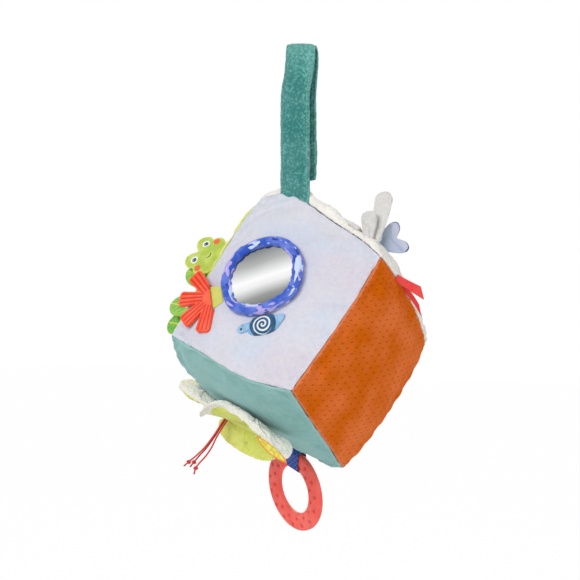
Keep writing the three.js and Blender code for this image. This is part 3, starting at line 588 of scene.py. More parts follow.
class Finish:
    """A material's shader and the nodes that feed it, added one at a time."""

    def __init__(self, name, colour, roughness=0.9, **sockets):
        self.material = bpy.data.materials.new(name)
        self.material.use_nodes = True
        self.tree = self.material.node_tree
        self.shader = self.tree.nodes["Principled BSDF"]
        self.set(**{"Base Color": (*colour, 1), "Roughness": roughness}, **sockets)
        self.object = self.add("ShaderNodeTexCoord").outputs["Object"]
        self.chart = None

    def set(self, **sockets):
        for key, value in sockets.items():
            self.fill(self.shader.inputs[key.replace("_", " ")], value)

    def fill(self, socket, value):
        if isinstance(value, bpy.types.NodeSocket):
            self.tree.links.new(value, socket)
        else:
            socket.default_value = value

    def add(self, kind, *values, **settings):
        node = self.tree.nodes.new(kind)
        for key, value in settings.items():
            setattr(node, key, value)
        for socket, value in zip(node.inputs, values):
            if value is not None:
                self.fill(socket, value)
        return node

    def uv(self):
        if self.chart is None:
            self.chart = self.add("ShaderNodeTexCoord").outputs["UV"]
        return self.chart

    def attribute(self, name):
        return self.add("ShaderNodeAttribute", attribute_name=name).outputs["Fac"]

    def math(self, operation, *values, clamp=False):
        return self.add("ShaderNodeMath", *values, operation=operation, use_clamp=clamp).outputs[0]

    def vector(self, operation, *values, output=0):
        return self.add("ShaderNodeVectorMath", *values, operation=operation).outputs[output]

    def noise(self, scale, detail=2.0, place=None):
        node = self.add("ShaderNodeTexNoise")
        self.fill(node.inputs["Vector"], self.object if place is None else place)
        node.inputs["Scale"].default_value = scale
        node.inputs["Detail"].default_value = detail
        return node.outputs["Fac"]

    def cells(self, scale, place=None, feature="F1", output="Distance"):
        node = self.add("ShaderNodeTexVoronoi", feature=feature)
        self.fill(node.inputs["Vector"], self.object if place is None else place)
        node.inputs["Scale"].default_value = scale
        return node.outputs[output]

    def between(self, value, low, high, start=0.0, end=1.0):
        """Maps a stretch of values to another, held at its ends."""
        node = self.add("ShaderNodeMapRange", value, low, high, start, end)
        return node.outputs[0]

    def mix(self, factor, first, second):
        node = self.add("ShaderNodeMix", data_type="RGBA")
        for index, value in ((0, factor), (6, first), (7, second)):
            if not isinstance(value, (bpy.types.NodeSocket, float, int)):
                value = (*value, 1)
            self.fill(node.inputs[index], value)
        return node.outputs[2]

    def bump(self, height, depth, strength=1.0):
        node = self.add("ShaderNodeBump")
        node.inputs["Strength"].default_value = strength
        node.inputs["Distance"].default_value = depth
        self.fill(node.inputs["Height"], height)
        if self.shader.inputs["Normal"].is_linked:
            before = self.shader.inputs["Normal"].links[0].from_socket
            self.fill(node.inputs["Normal"], before)
        self.tree.links.new(node.outputs[0], self.shader.inputs["Normal"])

    def disc(self, x, y, radius, soft=0.00015):
        """1 inside a disc drawn on the piece's map."""
        far = self.vector("DISTANCE", self.uv(), (x, y, 0), output=1)
        return self.between(far, radius + soft, radius - soft)

    def stroke(self, start, end, width, soft=0.00012):
        """1 along a straight stroke drawn on the piece's map."""
        start, end = Vector((*start, 0)), Vector((*end, 0))
        way = end - start
        offset = self.vector("SUBTRACT", self.uv(), start)
        share = self.vector("DOT_PRODUCT", offset, way / way.length_squared, output=1)
        share = self.math("MULTIPLY", share, 1.0, clamp=True)
        node = self.add("ShaderNodeVectorMath", operation="SCALE")
        node.inputs[0].default_value = way
        self.fill(node.inputs["Scale"], share)
        far = self.vector("DISTANCE", offset, node.outputs[0], output=1)
        return self.between(far, width / 2 + soft, width / 2 - soft)


def lighter(colour, share):
    return tuple(value + (1 - value) * share for value in colour)


def darker(colour, share):
    return tuple(value * (1 - share) for value in colour)


_made = {}


def finish_once(make):
    """Makes each material the first time that a piece asks for it."""
    def found(*values):
        key = (make.__name__, *[str(value) for value in values])
        if key not in _made:
            _made[key] = make(*values)
        return _made[key]
    return found


def sewn_edge(finish, base, colour):
    """Painted shade in the groove along a panel's seam and a painted highlight on the roll beside it."""
    near = finish.attribute("seam")
    # painted highlight: lighter where the cloth rolls into the seam
    base = finish.mix(finish.between(near, 0.0012, 0.0045, 0.22, 0), base, lighter(colour, 0.35))
    # painted shade: darker in the seam's narrow groove
    return finish.mix(finish.between(near, 0.0001, 0.0009, 0.35, 0), base, darker(colour, 0.4))


def pile_nodes(finish, ground, depth, grain=1500.0, clump=260.0, sewn=False):
    """Short pile: brushed patches, clumps and single fibres in colour and height."""
    brushed = finish.noise(38, 3)
    clumps = finish.noise(clump, 2)
    fibres = finish.noise(grain, 2)
    base = finish.mix(finish.between(brushed, 0.36, 0.64), darker(ground, 0.09), lighter(ground, 0.07))
    base = finish.mix(finish.between(clumps, 0.35, 0.65, 0, 0.35), base, lighter(ground, 0.14))
    base = finish.mix(finish.between(fibres, 0.3, 0.5, 0.35, 0.0), base, darker(ground, 0.35))
    if sewn:
        base = sewn_edge(finish, base, ground)
    finish.set(**{"Base Color": base})
    finish.bump(clumps, depth * 1.6, 0.55)
    finish.bump(fibres, depth, 0.75)


@finish_once
def velour(name, colour, depth=0.0004, sewn=False):
    finish = Finish(name, colour, 0.95)
    finish.set(Sheen_Weight=0.35, Sheen_Roughness=0.45, Sheen_Tint=(*lighter(colour, 0.5), 1))
    finish.set(Specular_IOR_Level=0.15)
    pile_nodes(finish, colour, depth, sewn=sewn)
    return finish.material


@finish_once
def plush(name, colour, depth=0.0009):
    finish = Finish(name, colour, 1.0)
    finish.set(Sheen_Weight=0.45, Sheen_Roughness=0.6, Sheen_Tint=(*lighter(colour, 0.6), 1))
    finish.set(Specular_IOR_Level=0.1)
    pile_nodes(finish, colour, depth, 900.0, 190.0)
    return finish.material


@finish_once
def strap_plush():
    """Plush with painted sheen: lighter at the strap's edges and over its fold."""
    colour = tuple(colours().teal)
    finish = Finish("strap_plush", colour, 1.0)
    finish.set(Sheen_Weight=0.35, Sheen_Roughness=0.5, Sheen_Tint=(*lighter(colour, 0.5), 1))
    finish.set(Specular_IOR_Level=0.1)
    split = finish.add("ShaderNodeSeparateXYZ", finish.object)
    brushed = finish.noise(34, 3)
    clumps = finish.noise(420, 3)
    fibres = finish.noise(1100, 2)
    wander = finish.math("MULTIPLY", finish.math("SUBTRACT", clumps, 0.5), 0.008)
    aside = finish.math("ADD", finish.math("ABSOLUTE", split.outputs[0]), wander)
    base = finish.mix(finish.between(brushed, 0.36, 0.64), darker(colour, 0.14), lighter(colour, 0.06))
    # painted sheen: lighter along the strap's rounded edges
    base = finish.mix(finish.between(aside, 0.0105, 0.0165, 0, 0.55), base, tone("#86c9c1"))
    # painted highlight: lighter over the top of the fold
    base = finish.mix(finish.between(split.outputs[2], -0.03, 0.002, 0, 0.55), base, tone("#72bdb3"))
    base = finish.mix(finish.between(clumps, 0.42, 0.6, 0.45, 0.0), base, darker(colour, 0.4))
    base = finish.mix(finish.between(clumps, 0.52, 0.68, 0.0, 0.45), base, tone("#83c4bc"))
    base = finish.mix(finish.between(fibres, 0.3, 0.5, 0.3, 0.0), base, darker(colour, 0.45))
    finish.set(**{"Base Color": base})
    finish.bump(clumps, 0.0012, 0.6)
    finish.bump(fibres, 0.0006, 0.75)
    return finish.material


@finish_once
def terry():
    colour = tuple(colours().terry)
    finish = Finish("terry", colour, 1.0)
    finish.set(Sheen_Weight=0.3, Sheen_Roughness=0.6, Specular_IOR_Level=0.1)
    loops = finish.cells(620)
    clumps = finish.noise(240, 2)
    base = finish.mix(finish.between(loops, 0.1, 0.7), lighter(colour, 0.3), darker(colour, 0.14))
    base = finish.mix(finish.between(clumps, 0.4, 0.65, 0.0, 0.4), base, darker(colour, 0.1))
    finish.set(**{"Base Color": base})
    finish.bump(clumps, 0.0016, 0.5)
    finish.bump(finish.math("SUBTRACT", 1.0, loops), 0.0010, 0.6)
    return finish.material


@finish_once
def front_cloth():
    colour = tuple(colours().lavender)
    finish = Finish("front_cloth", colour, 0.95)
    finish.set(Sheen_Weight=0.3, Sheen_Roughness=0.5, Specular_IOR_Level=0.12)
    washes = finish.noise(26, 3)
    other = finish.noise(17, 2, finish.vector("ADD", finish.object, (3.1, 1.7, 0.4)))
    base = finish.mix(finish.between(washes, 0.4, 0.62), colour, tone("#cad2e2"))
    base = finish.mix(finish.between(other, 0.47, 0.66, 0, 0.8), base, tone("#d3ccd8"))
    fibres = finish.noise(1400, 2)
    clumps = finish.noise(300, 2)
    base = finish.mix(finish.between(fibres, 0.3, 0.5, 0.22, 0.0), base, darker(colour, 0.25))
    base = finish.mix(finish.between(clumps, 0.35, 0.65, 0, 0.25), base, lighter(colour, 0.4))
    finish.set(**{"Base Color": sewn_edge(finish, base, colour)})
    finish.bump(clumps, 0.0005, 0.5)
    finish.bump(fibres, 0.0003, 0.7)
    return finish.material


@finish_once
def dotted_knit():
    """The side panel: a smooth knit with staggered pin dots."""
    colour = tuple(colours().orange)
    finish = Finish("dotted_knit", colour, 0.8)
    finish.set(Sheen_Weight=0.02, Sheen_Roughness=0.4, Sheen_Tint=(*lighter(colour, 0.3), 1))
    finish.set(Specular_IOR_Level=0.06)
    pitch = (0.0070, 0.0058, 0)
    scaled = finish.vector("MULTIPLY", finish.uv(), (1 / pitch[0], 1 / pitch[1], 0))
    cell = finish.vector("SUBTRACT", finish.vector("FRACTION", scaled), (0.5, 0.5, 0))
    offset = finish.vector("MULTIPLY", cell, pitch)
    lean = math.radians(39)
    length = finish.vector("DOT_PRODUCT", offset, (math.cos(lean), math.sin(lean), 0), output=1)
    breadth = finish.vector("DOT_PRODUCT", offset, (-math.sin(lean), math.cos(lean), 0), output=1)
    far = finish.vector("LENGTH", finish.add(
        "ShaderNodeCombineXYZ", finish.math("MULTIPLY", length, 0.42), breadth).outputs[0], output=1)
    dot = finish.between(far, 0.00075, 0.0003)
    washes = finish.noise(30, 3)
    fibres = finish.noise(1300, 2)
    base = finish.mix(finish.between(washes, 0.36, 0.66), darker(colour, 0.16), lighter(colour, 0.04))
    base = finish.mix(finish.between(fibres, 0.3, 0.55, 0.3, 0), base, darker(colour, 0.35))
    base = finish.mix(finish.math("MULTIPLY", dot, 0.6), base, darker(colour, 0.66))
    finish.set(**{"Base Color": sewn_edge(finish, base, colour)})
    finish.bump(fibres, 0.00025, 0.6)
    finish.bump(finish.math("SUBTRACT", 1.0, dot), 0.0003, 0.8)
    return finish.material


@finish_once
def woven(name, colour, pitch=0.0007, gloss=0.5):
    """Ribbon: fine ribs across, with a faint sheen."""
    finish = Finish(name, colour, gloss)
    finish.set(Sheen_Weight=0.05, Sheen_Roughness=0.3, Specular_IOR_Level=0.3)
    ribs = finish.vector("MULTIPLY", finish.uv(), (math.tau / (2 * pitch), math.tau / pitch, 0))
    split = finish.add("ShaderNodeSeparateXYZ", ribs)
    rib = finish.math("ADD", finish.math("SINE", split.outputs[1]), finish.math("SINE", split.outputs[0]))
    mottle = finish.noise(160, 2)
    base = finish.mix(finish.between(rib, -2, 2), darker(colour, 0.2), lighter(colour, 0.08))
    base = finish.mix(finish.between(mottle, 0.4, 0.65, 0, 0.3), base, lighter(colour, 0.1))
    finish.set(**{"Base Color": base})
    finish.bump(rib, 0.00006, 0.6)
    return finish


@finish_once
def silicone(name, colour):
    finish = Finish(name, colour, 0.46)
    finish.set(Subsurface_Weight=0.08, Subsurface_Scale=0.004, Specular_IOR_Level=0.45)
    finish.set(Subsurface_Radius=(1.0, 0.35, 0.2))
    mottle = finish.noise(70, 3)
    grain = finish.noise(1800, 2)
    base = finish.mix(finish.between(mottle, 0.38, 0.65), darker(colour, 0.07), lighter(colour, 0.05))
    # painted shade: darker in the moulded dimples and grooves, as the fan and the ring mark them on their vertices
    painted_pit_shade = finish.math("MULTIPLY", finish.attribute("pit"), 0.8, clamp=True)
    base = finish.mix(painted_pit_shade, base, tone("#c41f22"))
    finish.set(**{"Base Color": base, "Roughness": finish.between(grain, 0.3, 0.7, 0.4, 0.54)})
    finish.bump(grain, 0.00004, 0.5)
    return finish.material


def fine_weave(finish, base, ground):
    """A woven cotton's threads under whatever is printed on it."""
    threads = finish.vector("MULTIPLY", finish.uv(), (math.tau / 0.0006, math.tau / 0.0006, 0))
    split = finish.add("ShaderNodeSeparateXYZ", threads)
    weave = finish.math("MULTIPLY", finish.math("SINE", split.outputs[0]), finish.math("SINE", split.outputs[1]))
    base = finish.mix(finish.between(weave, -1, 0.2, 0.22, 0.0), base, ground)
    finish.set(**{"Base Color": base})
    finish.bump(weave, 0.00007, 0.6)
    finish.bump(finish.noise(220, 2), 0.0003, 0.4)


@finish_once
def leaf_print():
    finish = Finish("leaf_print", tone("#7cc04c"), 0.85, Sheen_Weight=0.2)
    washes = finish.noise(120, 2)
    base = finish.mix(finish.between(washes, 0.4, 0.6), tone("#6fb944"), tone("#a3d257"))
    for k in range(1, 5):
        low = 0.0052 * k
        for side in (-1, 1):
            rib = finish.stroke((0, low), (side * 0.0075, low + 0.0052), 0.0007)
            base = finish.mix(rib, base, tone("#3f9a4e"))
    base = finish.mix(finish.stroke((0, -0.002), (0, 0.029), 0.0011), base, tone("#e4de5c"))
    edge = finish.between(finish.attribute("rim"), 0.9, 0.95)
    base = finish.mix(edge, base, tone("#8cc94f"))
    fine_weave(finish, base, tone("#4b8f3c"))
    return finish.material


@finish_once
def frog_print():
    """A plain frog's head: two eyes, cheeks and a smile."""
    finish = Finish("frog_print", tone("#bfd257"), 0.9, Sheen_Weight=0.25)
    washes = finish.noise(90, 2)
    base = finish.mix(finish.between(washes, 0.4, 0.6), tone("#b2cb4c"), tone("#cddb6a"))
    for side in (-1, 1):
        base = finish.mix(finish.disc(side * 0.0096, 0.0218, 0.0038), base, tone("#f4f6ee"))
        base = finish.mix(finish.disc(side * 0.0096, 0.0216, 0.0022), base, tone("#1d3f6e"))
        base = finish.mix(finish.disc(side * 0.0096 - 0.0008, 0.0223, 0.0004), base, tone("#f7f7f2"))
        base = finish.mix(finish.disc(side * 0.0158, 0.0128, 0.0033), base, tone("#f0693a"))
    smile = finish.math("MULTIPLY", finish.disc(0, 0.0118, 0.0034), finish.math(
        "SUBTRACT", 1.0, finish.disc(0, 0.0131, 0.0036), clamp=True))
    base = finish.mix(smile, base, tone("#26382b"))
    edge = finish.between(finish.attribute("rim"), 0.92, 0.96)
    base = finish.mix(edge, base, tone("#d3dd63"))
    fine_weave(finish, base, tone("#8ea83c"))
    return finish.material


@finish_once
def snail_print():
    """A plain snail: a dark shell with a pale spiral, a light body and an eye."""
    finish = Finish("snail_print", tone("#2a5b80"), 0.85, Sheen_Weight=0.25)
    body = tone("#9fc6e6")
    base = finish.mix(finish.between(finish.noise(150, 2), 0.4, 0.6), body, tone("#86b4dc"))
    shell = finish.disc(0.0, 0.0082, 0.0122)
    offset = finish.vector("SUBTRACT", finish.uv(), (0.0, 0.0082, 0))
    split = finish.add("ShaderNodeSeparateXYZ", offset)
    turn = finish.math("ARCTAN2", split.outputs[1], split.outputs[0])
    far = finish.vector("LENGTH", offset, output=1)
    wound = finish.math("SUBTRACT", finish.math("MULTIPLY", far, math.tau / 0.0037), turn)
    spiral = finish.between(finish.math("SINE", wound), 0.1, 0.35)
    spiral = finish.math("MULTIPLY", spiral, finish.disc(0.0, 0.0082, 0.0090, 0.0003))
    shell_colour = finish.mix(finish.between(finish.noise(170, 2), 0.4, 0.6), tone("#1b4a6e"), tone("#27608a"))
    base = finish.mix(shell, base, shell_colour)
    base = finish.mix(spiral, base, tone("#e9eff3"))
    base = finish.mix(finish.disc(0.0205, 0.0078, 0.0012), base, tone("#173150"))
    base = finish.mix(finish.disc(0.0192, 0.0042, 0.0009), base, tone("#5f94c4"))
    fine_weave(finish, base, tone("#1e4260"))
    return finish.material


@finish_once
def tail_print():
    finish = Finish("tail_print", tone("#a3b2c6"), 0.8, Sheen_Weight=0.25)
    split = finish.add("ShaderNodeSeparateXYZ", finish.uv())
    fade = finish.between(split.outputs[1], 0.002, 0.024)
    base = finish.mix(fade, tone("#98acc3"), tone("#c6c9da"))
    wavy = finish.math("ADD", finish.noise(90, 2), finish.math("MULTIPLY", split.outputs[1], 70.0))
    bands = finish.between(finish.math("SINE", finish.math("MULTIPLY", wavy, 9.0)), 0.55, 0.9, 0, 0.45)
    base = finish.mix(bands, base, tone("#8c9cc0"))
    edge = finish.math(
        "MULTIPLY", finish.between(finish.attribute("rim"), 0.93, 0.96), finish.between(split.outputs[1], 0.0195, 0.021)
    )
    base = finish.mix(edge, base, tone("#2c3f8c"))
    fine_weave(finish, base, tone("#7f8fa8"))
    return finish.material


@finish_once
def gathered_print():
    """The mirror's ring: deep blue with pale and lilac patches and a few light dashes."""
    colour = tuple(colours().blue)
    finish = Finish("gathered_print", colour, 0.75, Sheen_Weight=0.3, Specular_IOR_Level=0.3)
    strokes = finish.vector("MULTIPLY", finish.uv(), (1.0, 0.34, 1))
    washes = finish.noise(70, 3, finish.uv())
    lilac = finish.noise(120, 2, strokes)
    pale = finish.noise(150, 2, finish.vector("ADD", strokes, (0.31, 0.17, 0)))
    deep = finish.noise(210, 1, finish.vector("ADD", strokes, (0.57, 0.83, 0)))
    base = finish.mix(finish.between(washes, 0.4, 0.6), darker(colour, 0.22), lighter(colour, 0.1))
    base = finish.mix(finish.between(lilac, 0.575, 0.59), base, tone("#b3a6e4"))
    base = finish.mix(finish.between(pale, 0.6, 0.615), base, tone("#c9d8f4"))
    base = finish.mix(finish.between(deep, 0.66, 0.68), base, tone("#1c3aa0"))
    dashes = finish.noise(420, 1, finish.vector("MULTIPLY", finish.uv(), (1.0, 0.4, 1)))
    base = finish.mix(finish.between(dashes, 0.72, 0.75), base, tone("#e8edf8"))
    finish.set(**{"Base Color": base})
    finish.bump(finish.noise(1500, 2), 0.0002, 0.5)
    return finish.material


@finish_once
def mirror_film():
    """Mirror film with soft grey bands of reflection painted into its colour."""
    finish = Finish("mirror_film", tone("#dcdedf"), 0.13, Metallic=1.0)
    seat = block_matrix() @ seat_on("front", MIRROR_SHARES)
    across = (seat.to_3x3() @ Vector(PAINTED_REFLECTION_WAY)).normalized()
    reach = finish.vector("DOT_PRODUCT", finish.vector("SUBTRACT", finish.object, seat.translation), across, output=1)
    wander = finish.math("MULTIPLY", finish.math("SUBTRACT", finish.noise(14, 1), 0.5), 0.02)
    share = finish.between(finish.math("ADD", reach, wander), -0.031, 0.031)
    # painted reflection: grey, white and grey bands across the mirror's face
    ramp = finish.add("ShaderNodeValToRGB", share)
    stops = ramp.color_ramp.elements
    stops[0].position, stops[0].color = 0, (*tone("#7b7f7f"), 1)
    stops[1].position, stops[1].color = 1, (*tone("#6d706c"), 1)
    for at, text in ((0.25, "#b3b6b5"), (0.5, "#fdfdfd"), (0.62, "#eeefee"), (0.8, "#9a9d9a")):
        stops.new(at).color = (*tone(text), 1)
    finish.set(**{"Base Color": ramp.outputs[0]})
    finish.bump(finish.noise(55, 2), 0.0004, 0.2)
    return finish.material


@finish_once
def crinkle_film():
    finish = Finish("crinkle_film", tone("#ecd94d"), 0.45, Specular_IOR_Level=0.5)
    edge = finish.between(finish.attribute("rim"), 0.84, 0.9)
    folds = finish.cells(180, feature="DISTANCE_TO_EDGE")
    # painted shade: darker along the crinkle's creases, lighter between them
    base = finish.mix(finish.between(folds, 0.0, 0.2), tone("#dcbf3a"), tone("#f0e164"))
    base = finish.mix(edge, base, tone("#f08a2c"))
    finish.set(**{"Base Color": base})
    finish.bump(folds, 0.0008, 0.6)
    return finish.material


@finish_once
def dotted_ribbon():
    """The ring's ribbon: deep blue with small darker dots in staggered rows."""
    finish = woven("dotted_ribbon", tone("#2157c4"), 0.0008, 0.6)
    nearest = None
    for shift in ((0, 0, 0), (0.5, 0.5, 0)):
        scaled = finish.vector("SCALE", finish.uv())
        scaled.node.inputs["Scale"].default_value = 1 / 0.0052
        cell = finish.vector("FRACTION", finish.vector("ADD", scaled, shift))
        far = finish.vector("DISTANCE", cell, (0.5, 0.5, 0), output=1)
        nearest = far if nearest is None else finish.math("MINIMUM", nearest, far)
    under = finish.shader.inputs["Base Color"].links[0].from_socket
    base = finish.mix(finish.between(nearest, 0.21, 0.17), under, tone("#0f2458"))
    finish.set(**{"Base Color": base})
    return finish.material


@finish_once
def thread(name, text):
    """Twisted thread or cord."""
    colour = tone(text)
    finish = Finish(name, colour, 0.8, Sheen_Weight=0.1)
    fibres = finish.noise(2400, 2)
    base = finish.mix(finish.between(fibres, 0.35, 0.65), darker(colour, 0.25), lighter(colour, 0.05))
    finish.set(**{"Base Color": base})
    finish.bump(fibres, 0.0002, 0.6)
    return finish.material


@finish_once
def felt(name, text):
    colour = tone(text)
    finish = Finish(name, colour, 1.0, Sheen_Weight=0.2)
    pile_nodes(finish, colour, 0.0003, 1100.0, 420.0)
    return finish.material


@finish_once
def fastening(name, text):
    """Hook and loop tape: a dense field of tiny hooks or loops."""
    colour = tone(text)
    finish = Finish(name, colour, 0.7, Specular_IOR_Level=0.4)
    hooks = finish.cells(1100)
    base = finish.mix(finish.between(hooks, 0.1, 0.6), lighter(colour, 0.2), darker(colour, 0.45))
    finish.set(**{"Base Color": base})
    finish.bump(finish.math("SUBTRACT", 1.0, hooks), 0.0008, 1.0)
    return finish.material


@finish_once
def capsule_plastic(name, text):
    colour = tone(text)
    finish = Finish(name, colour, 0.4, Specular_IOR_Level=0.5)
    grain = finish.noise(900, 2)
    mottle = finish.noise(60, 2)
    base = finish.mix(finish.between(mottle, 0.4, 0.6), darker(colour, 0.04), lighter(colour, 0.05))
    finish.set(**{"Base Color": base, "Roughness": finish.between(grain, 0.3, 0.7, 0.34, 0.48)})
    finish.bump(grain, 0.00005, 0.4)
    return finish.material


@finish_once
def bead():
    finish = Finish("bead_black", tone("#23262d"), 0.25, Specular_IOR_Level=0.6)
    finish.set(Roughness=finish.between(finish.noise(700, 2), 0.3, 0.7, 0.2, 0.34))
    return finish.material


# the stuffed block

SHELL_DEPTH = 0.0025  # how much smaller the shell starts than the finished skin
ROUNDING_REACH = 0.012  # how far from a seam the shell is rounded
ROUNDING_STEPS = 16
SEAM_TUCK = 0.0006  # depth of the narrow groove that the stitches pull in
SEAM_TUCK_REACH = 0.003
SEAM_ROLL = 0.0006  # height of the roll beside the groove
WRINKLE_CAP = 0.0022  # how far a wrinkle may leave the finished skin
STRAP_CREASES = (
    # start and end as shares of the front face, height and half width
    ((-0.12, 0.93), (0.42, 0.62), 0.0016, 0.0075),
    ((-0.2, 0.8), (0.2, 0.42), -0.0011, 0.008),
    ((-0.55, 0.86), (-0.62, 0.35), 0.0012, 0.007),
    ((0.34, 0.88), (0.86, 0.5), -0.0014, 0.006),
    ((0.5, 0.72), (0.95, 0.34), 0.0013, 0.007),
    ((0.62, 0.98), (0.8, 0.74), 0.0012, 0.005),
)


def crowd(share):
    return np.sin(share * GRID_CROWDING) / math.sin(GRID_CROWDING)


def shell_mesh():
    """A cube of small cells, with the unit-cube place of each vertex."""
    bm = bmesh.new()
    bmesh.ops.create_cube(bm, size=2)
    bmesh.ops.subdivide_edges(bm, edges=bm.edges, cuts=sizes().panel_cells - 1, use_grid_fill=True)
    places = crowd(np.array([vert.co for vert in bm.verts]))
    return bm, np.round(places, 9)


def neighbour_mean(values, edges, count):
    total = np.zeros((count, 3))
    number = np.zeros((count, 1))
    for a, b in ((0, 1), (1, 0)):
        np.add.at(total, edges[:, a], values[edges[:, b]])
        np.add.at(number, edges[:, a], 1)
    return total / number


def wrinkles(bm, places):
    """How the stuffed cloth leaves its smooth skin: the small folds that air pressure gives it."""
    count = len(places)
    start = skin(places, SHELL_DEPTH)
    for vert, point in zip(bm.verts, start):
        vert.co = point
    edges = np.array([[v.index for v in edge.verts] for edge in bm.edges])
    mesh = bpy.data.meshes.new("shell")
    bm.to_mesh(mesh)
    shell = bpy.data.objects.new("shell", mesh)
    bpy.context.scene.collection.objects.link(shell)
    pinned = [int(i) for i in np.flatnonzero(to_seam(places) < 1e-6)]
    puff(shell, pinned, sizes().slack_share, 0.02)
    end = np.array([v.co for v in mesh.vertices])
    bpy.data.objects.remove(shell)
    bpy.data.meshes.remove(mesh)
    move = end - start
    broad = move
    for _ in range(60):
        broad = neighbour_mean(broad, edges, count)
        broad[pinned] = 0
    fine = move - broad
    far = np.linalg.norm(fine, axis=1)
    return fine * np.minimum(1, WRINKLE_CAP / np.maximum(far, 1e-9))[:, None]


# swells of the dressed block: middle, height, reach and direction in the block's own axes
DRESSED_SWELLS = (
    ((-0.75, -1, 1), -0.007, 0.034, "up"),
    ((0.3, -1, -1), 0.004, 0.035, (0, 0, -1)),
    ((0.8, 0.9, -1), 0.0045, 0.030, (0, 0, -1)),
    ((0.6, -1, 1), 0.0072, 0.030, "up"),
)

# seams that lie off the cube's edges: the two faces, and where and how far the cloth wraps over
WRAPPED_SEAMS = (
    (("front", "left"), 0.1, 1.15, -0.085),
    (("front", "bottom"), 0.35, 0.5, 0.03),
)


def wrapped(places):
    """Slides the grid over the seams that don't lie on an edge of the cube."""
    q = places.copy()
    for (first, second), middle, reach, shift in WRAPPED_SEAMS:
        a, b = np.array(FACES[first][0], float), np.array(FACES[second][0], float)
        along = np.abs(np.cross(a, b))
        on_first, on_second = np.isclose(places @ a, 1), np.isclose(places @ b, 1)
        off = np.where(on_first, places @ b - 1, 1 - places @ a)
        run = places @ along
        weight = np.clip(1 - np.abs(off) / 0.5, 0, 1)
        weight = weight * weight * (3 - 2 * weight)
        ends = np.clip((1 - np.abs(run)) / 0.25, 0, 1)
        moved = off + shift * weight * ends * np.exp(-((run - middle) / reach) ** 2)
        for chosen, keep, other in ((moved < 0, a, b), (moved >= 0, b, a)):
            picked = (on_first | on_second) & chosen
            level = 1 - np.abs(moved)
            q[picked] += (1 - (q[picked] @ keep))[:, None] * keep
            q[picked] += (level[picked] - (q[picked] @ other))[:, None] * other
    return q


def dressed_skin(places, edges):
    """The smooth surface that the panels are sewn on, with rounded edges, in the block's own axes."""
    s = sizes()
    q = wrapped(places)
    bare = skin(q)
    size = np.linalg.norm(q, axis=1)
    bare += q * (s.seam_dip * eased(to_seam(q), s.seam_round) / size)[:, None]
    up = np.array(block_turn().to_3x3().inverted() @ Vector((0, 0, 1)))
    for middle, rise, reach, way in DRESSED_SWELLS:
        near = np.exp(-((q - middle) ** 2).sum(1) * (s.half_edge / reach) ** 2)
        bare += (up if way == "up" else np.array(way, float)) * (rise * near)[:, None]
    weight = 0.8 * np.clip(1 - to_seam(q) / ROUNDING_REACH, 0, 1)[:, None]
    for _ in range(ROUNDING_STEPS):
        bare += (neighbour_mean(bare, edges, len(bare)) - bare) * weight
    return bare


def crease_heights(places):
    """Broad soft folds that the strap's pull leaves in the front panel."""
    s = sizes()
    flat = places[:, [0, 2]] * s.half_edge
    heights = np.zeros(len(places))
    for start, end, height, width in STRAP_CREASES:
        a, b = np.array(start) * s.half_edge, np.array(end) * s.half_edge
        way = b - a
        share = np.clip((flat - a) @ way / (way @ way), 0, 1)
        far = np.linalg.norm(flat - a - share[:, None] * way, axis=1)
        fade = np.sin(np.pi * np.clip(share * 0.9 + 0.05, 0, 1))
        heights += height * fade * np.exp(-(far / width) ** 2)
    heights[~np.isclose(places[:, 1], -1)] = 0
    return heights * np.clip(to_seam(places) / 0.006, 0, 1)


def calm_round_mirror(places):
    """0 under the mirror and its ring, 1 away from them."""
    s = sizes()
    middle = on_face("front", *MIRROR_SHARES)
    far = np.linalg.norm((places - middle) * (s.half_edge + s.crown_rise), axis=1)
    return np.clip((far - 0.036) / 0.014, 0, 1)


def pile_share(places):
    """How much of the plush's height stands: it thins to the left, to the right and over the bug's seam."""
    x, y = places[:, 0], places[:, 1]
    right = np.clip((x - 0.72) / 0.26, 0, 1)
    left = np.clip((-0.35 - x) / 0.6, 0, 1)
    bug = np.exp(-((x - 0.6) / 0.34) ** 2) * np.clip((-0.62 - y) / 0.3, 0, 1)
    return (1 - 0.6 * right * right * (3 - 2 * right)) * (1 - 0.62 * left) * (1 - 0.55 * bug)


PANEL_LOOKS = {
    "front": ("lavender_velour", front_cloth),
    "right": ("orange_mesh", dotted_knit),
    "bottom": ("aqua_velour", lambda: velour("aqua_velour", tuple(colours().aqua), 0.0004, True)),
    "top": ("cream_plush", lambda: plush("cream_plush", tuple(colours().cream))),
    "left": ("lime_velour", lambda: velour("lime_velour", tuple(colours().lime), 0.0004, True)),
    "back": ("aqua_velour", lambda: velour("aqua_velour", tuple(colours().aqua), 0.0004, True)),
}
PANEL_GAP_SHARE = 0.001


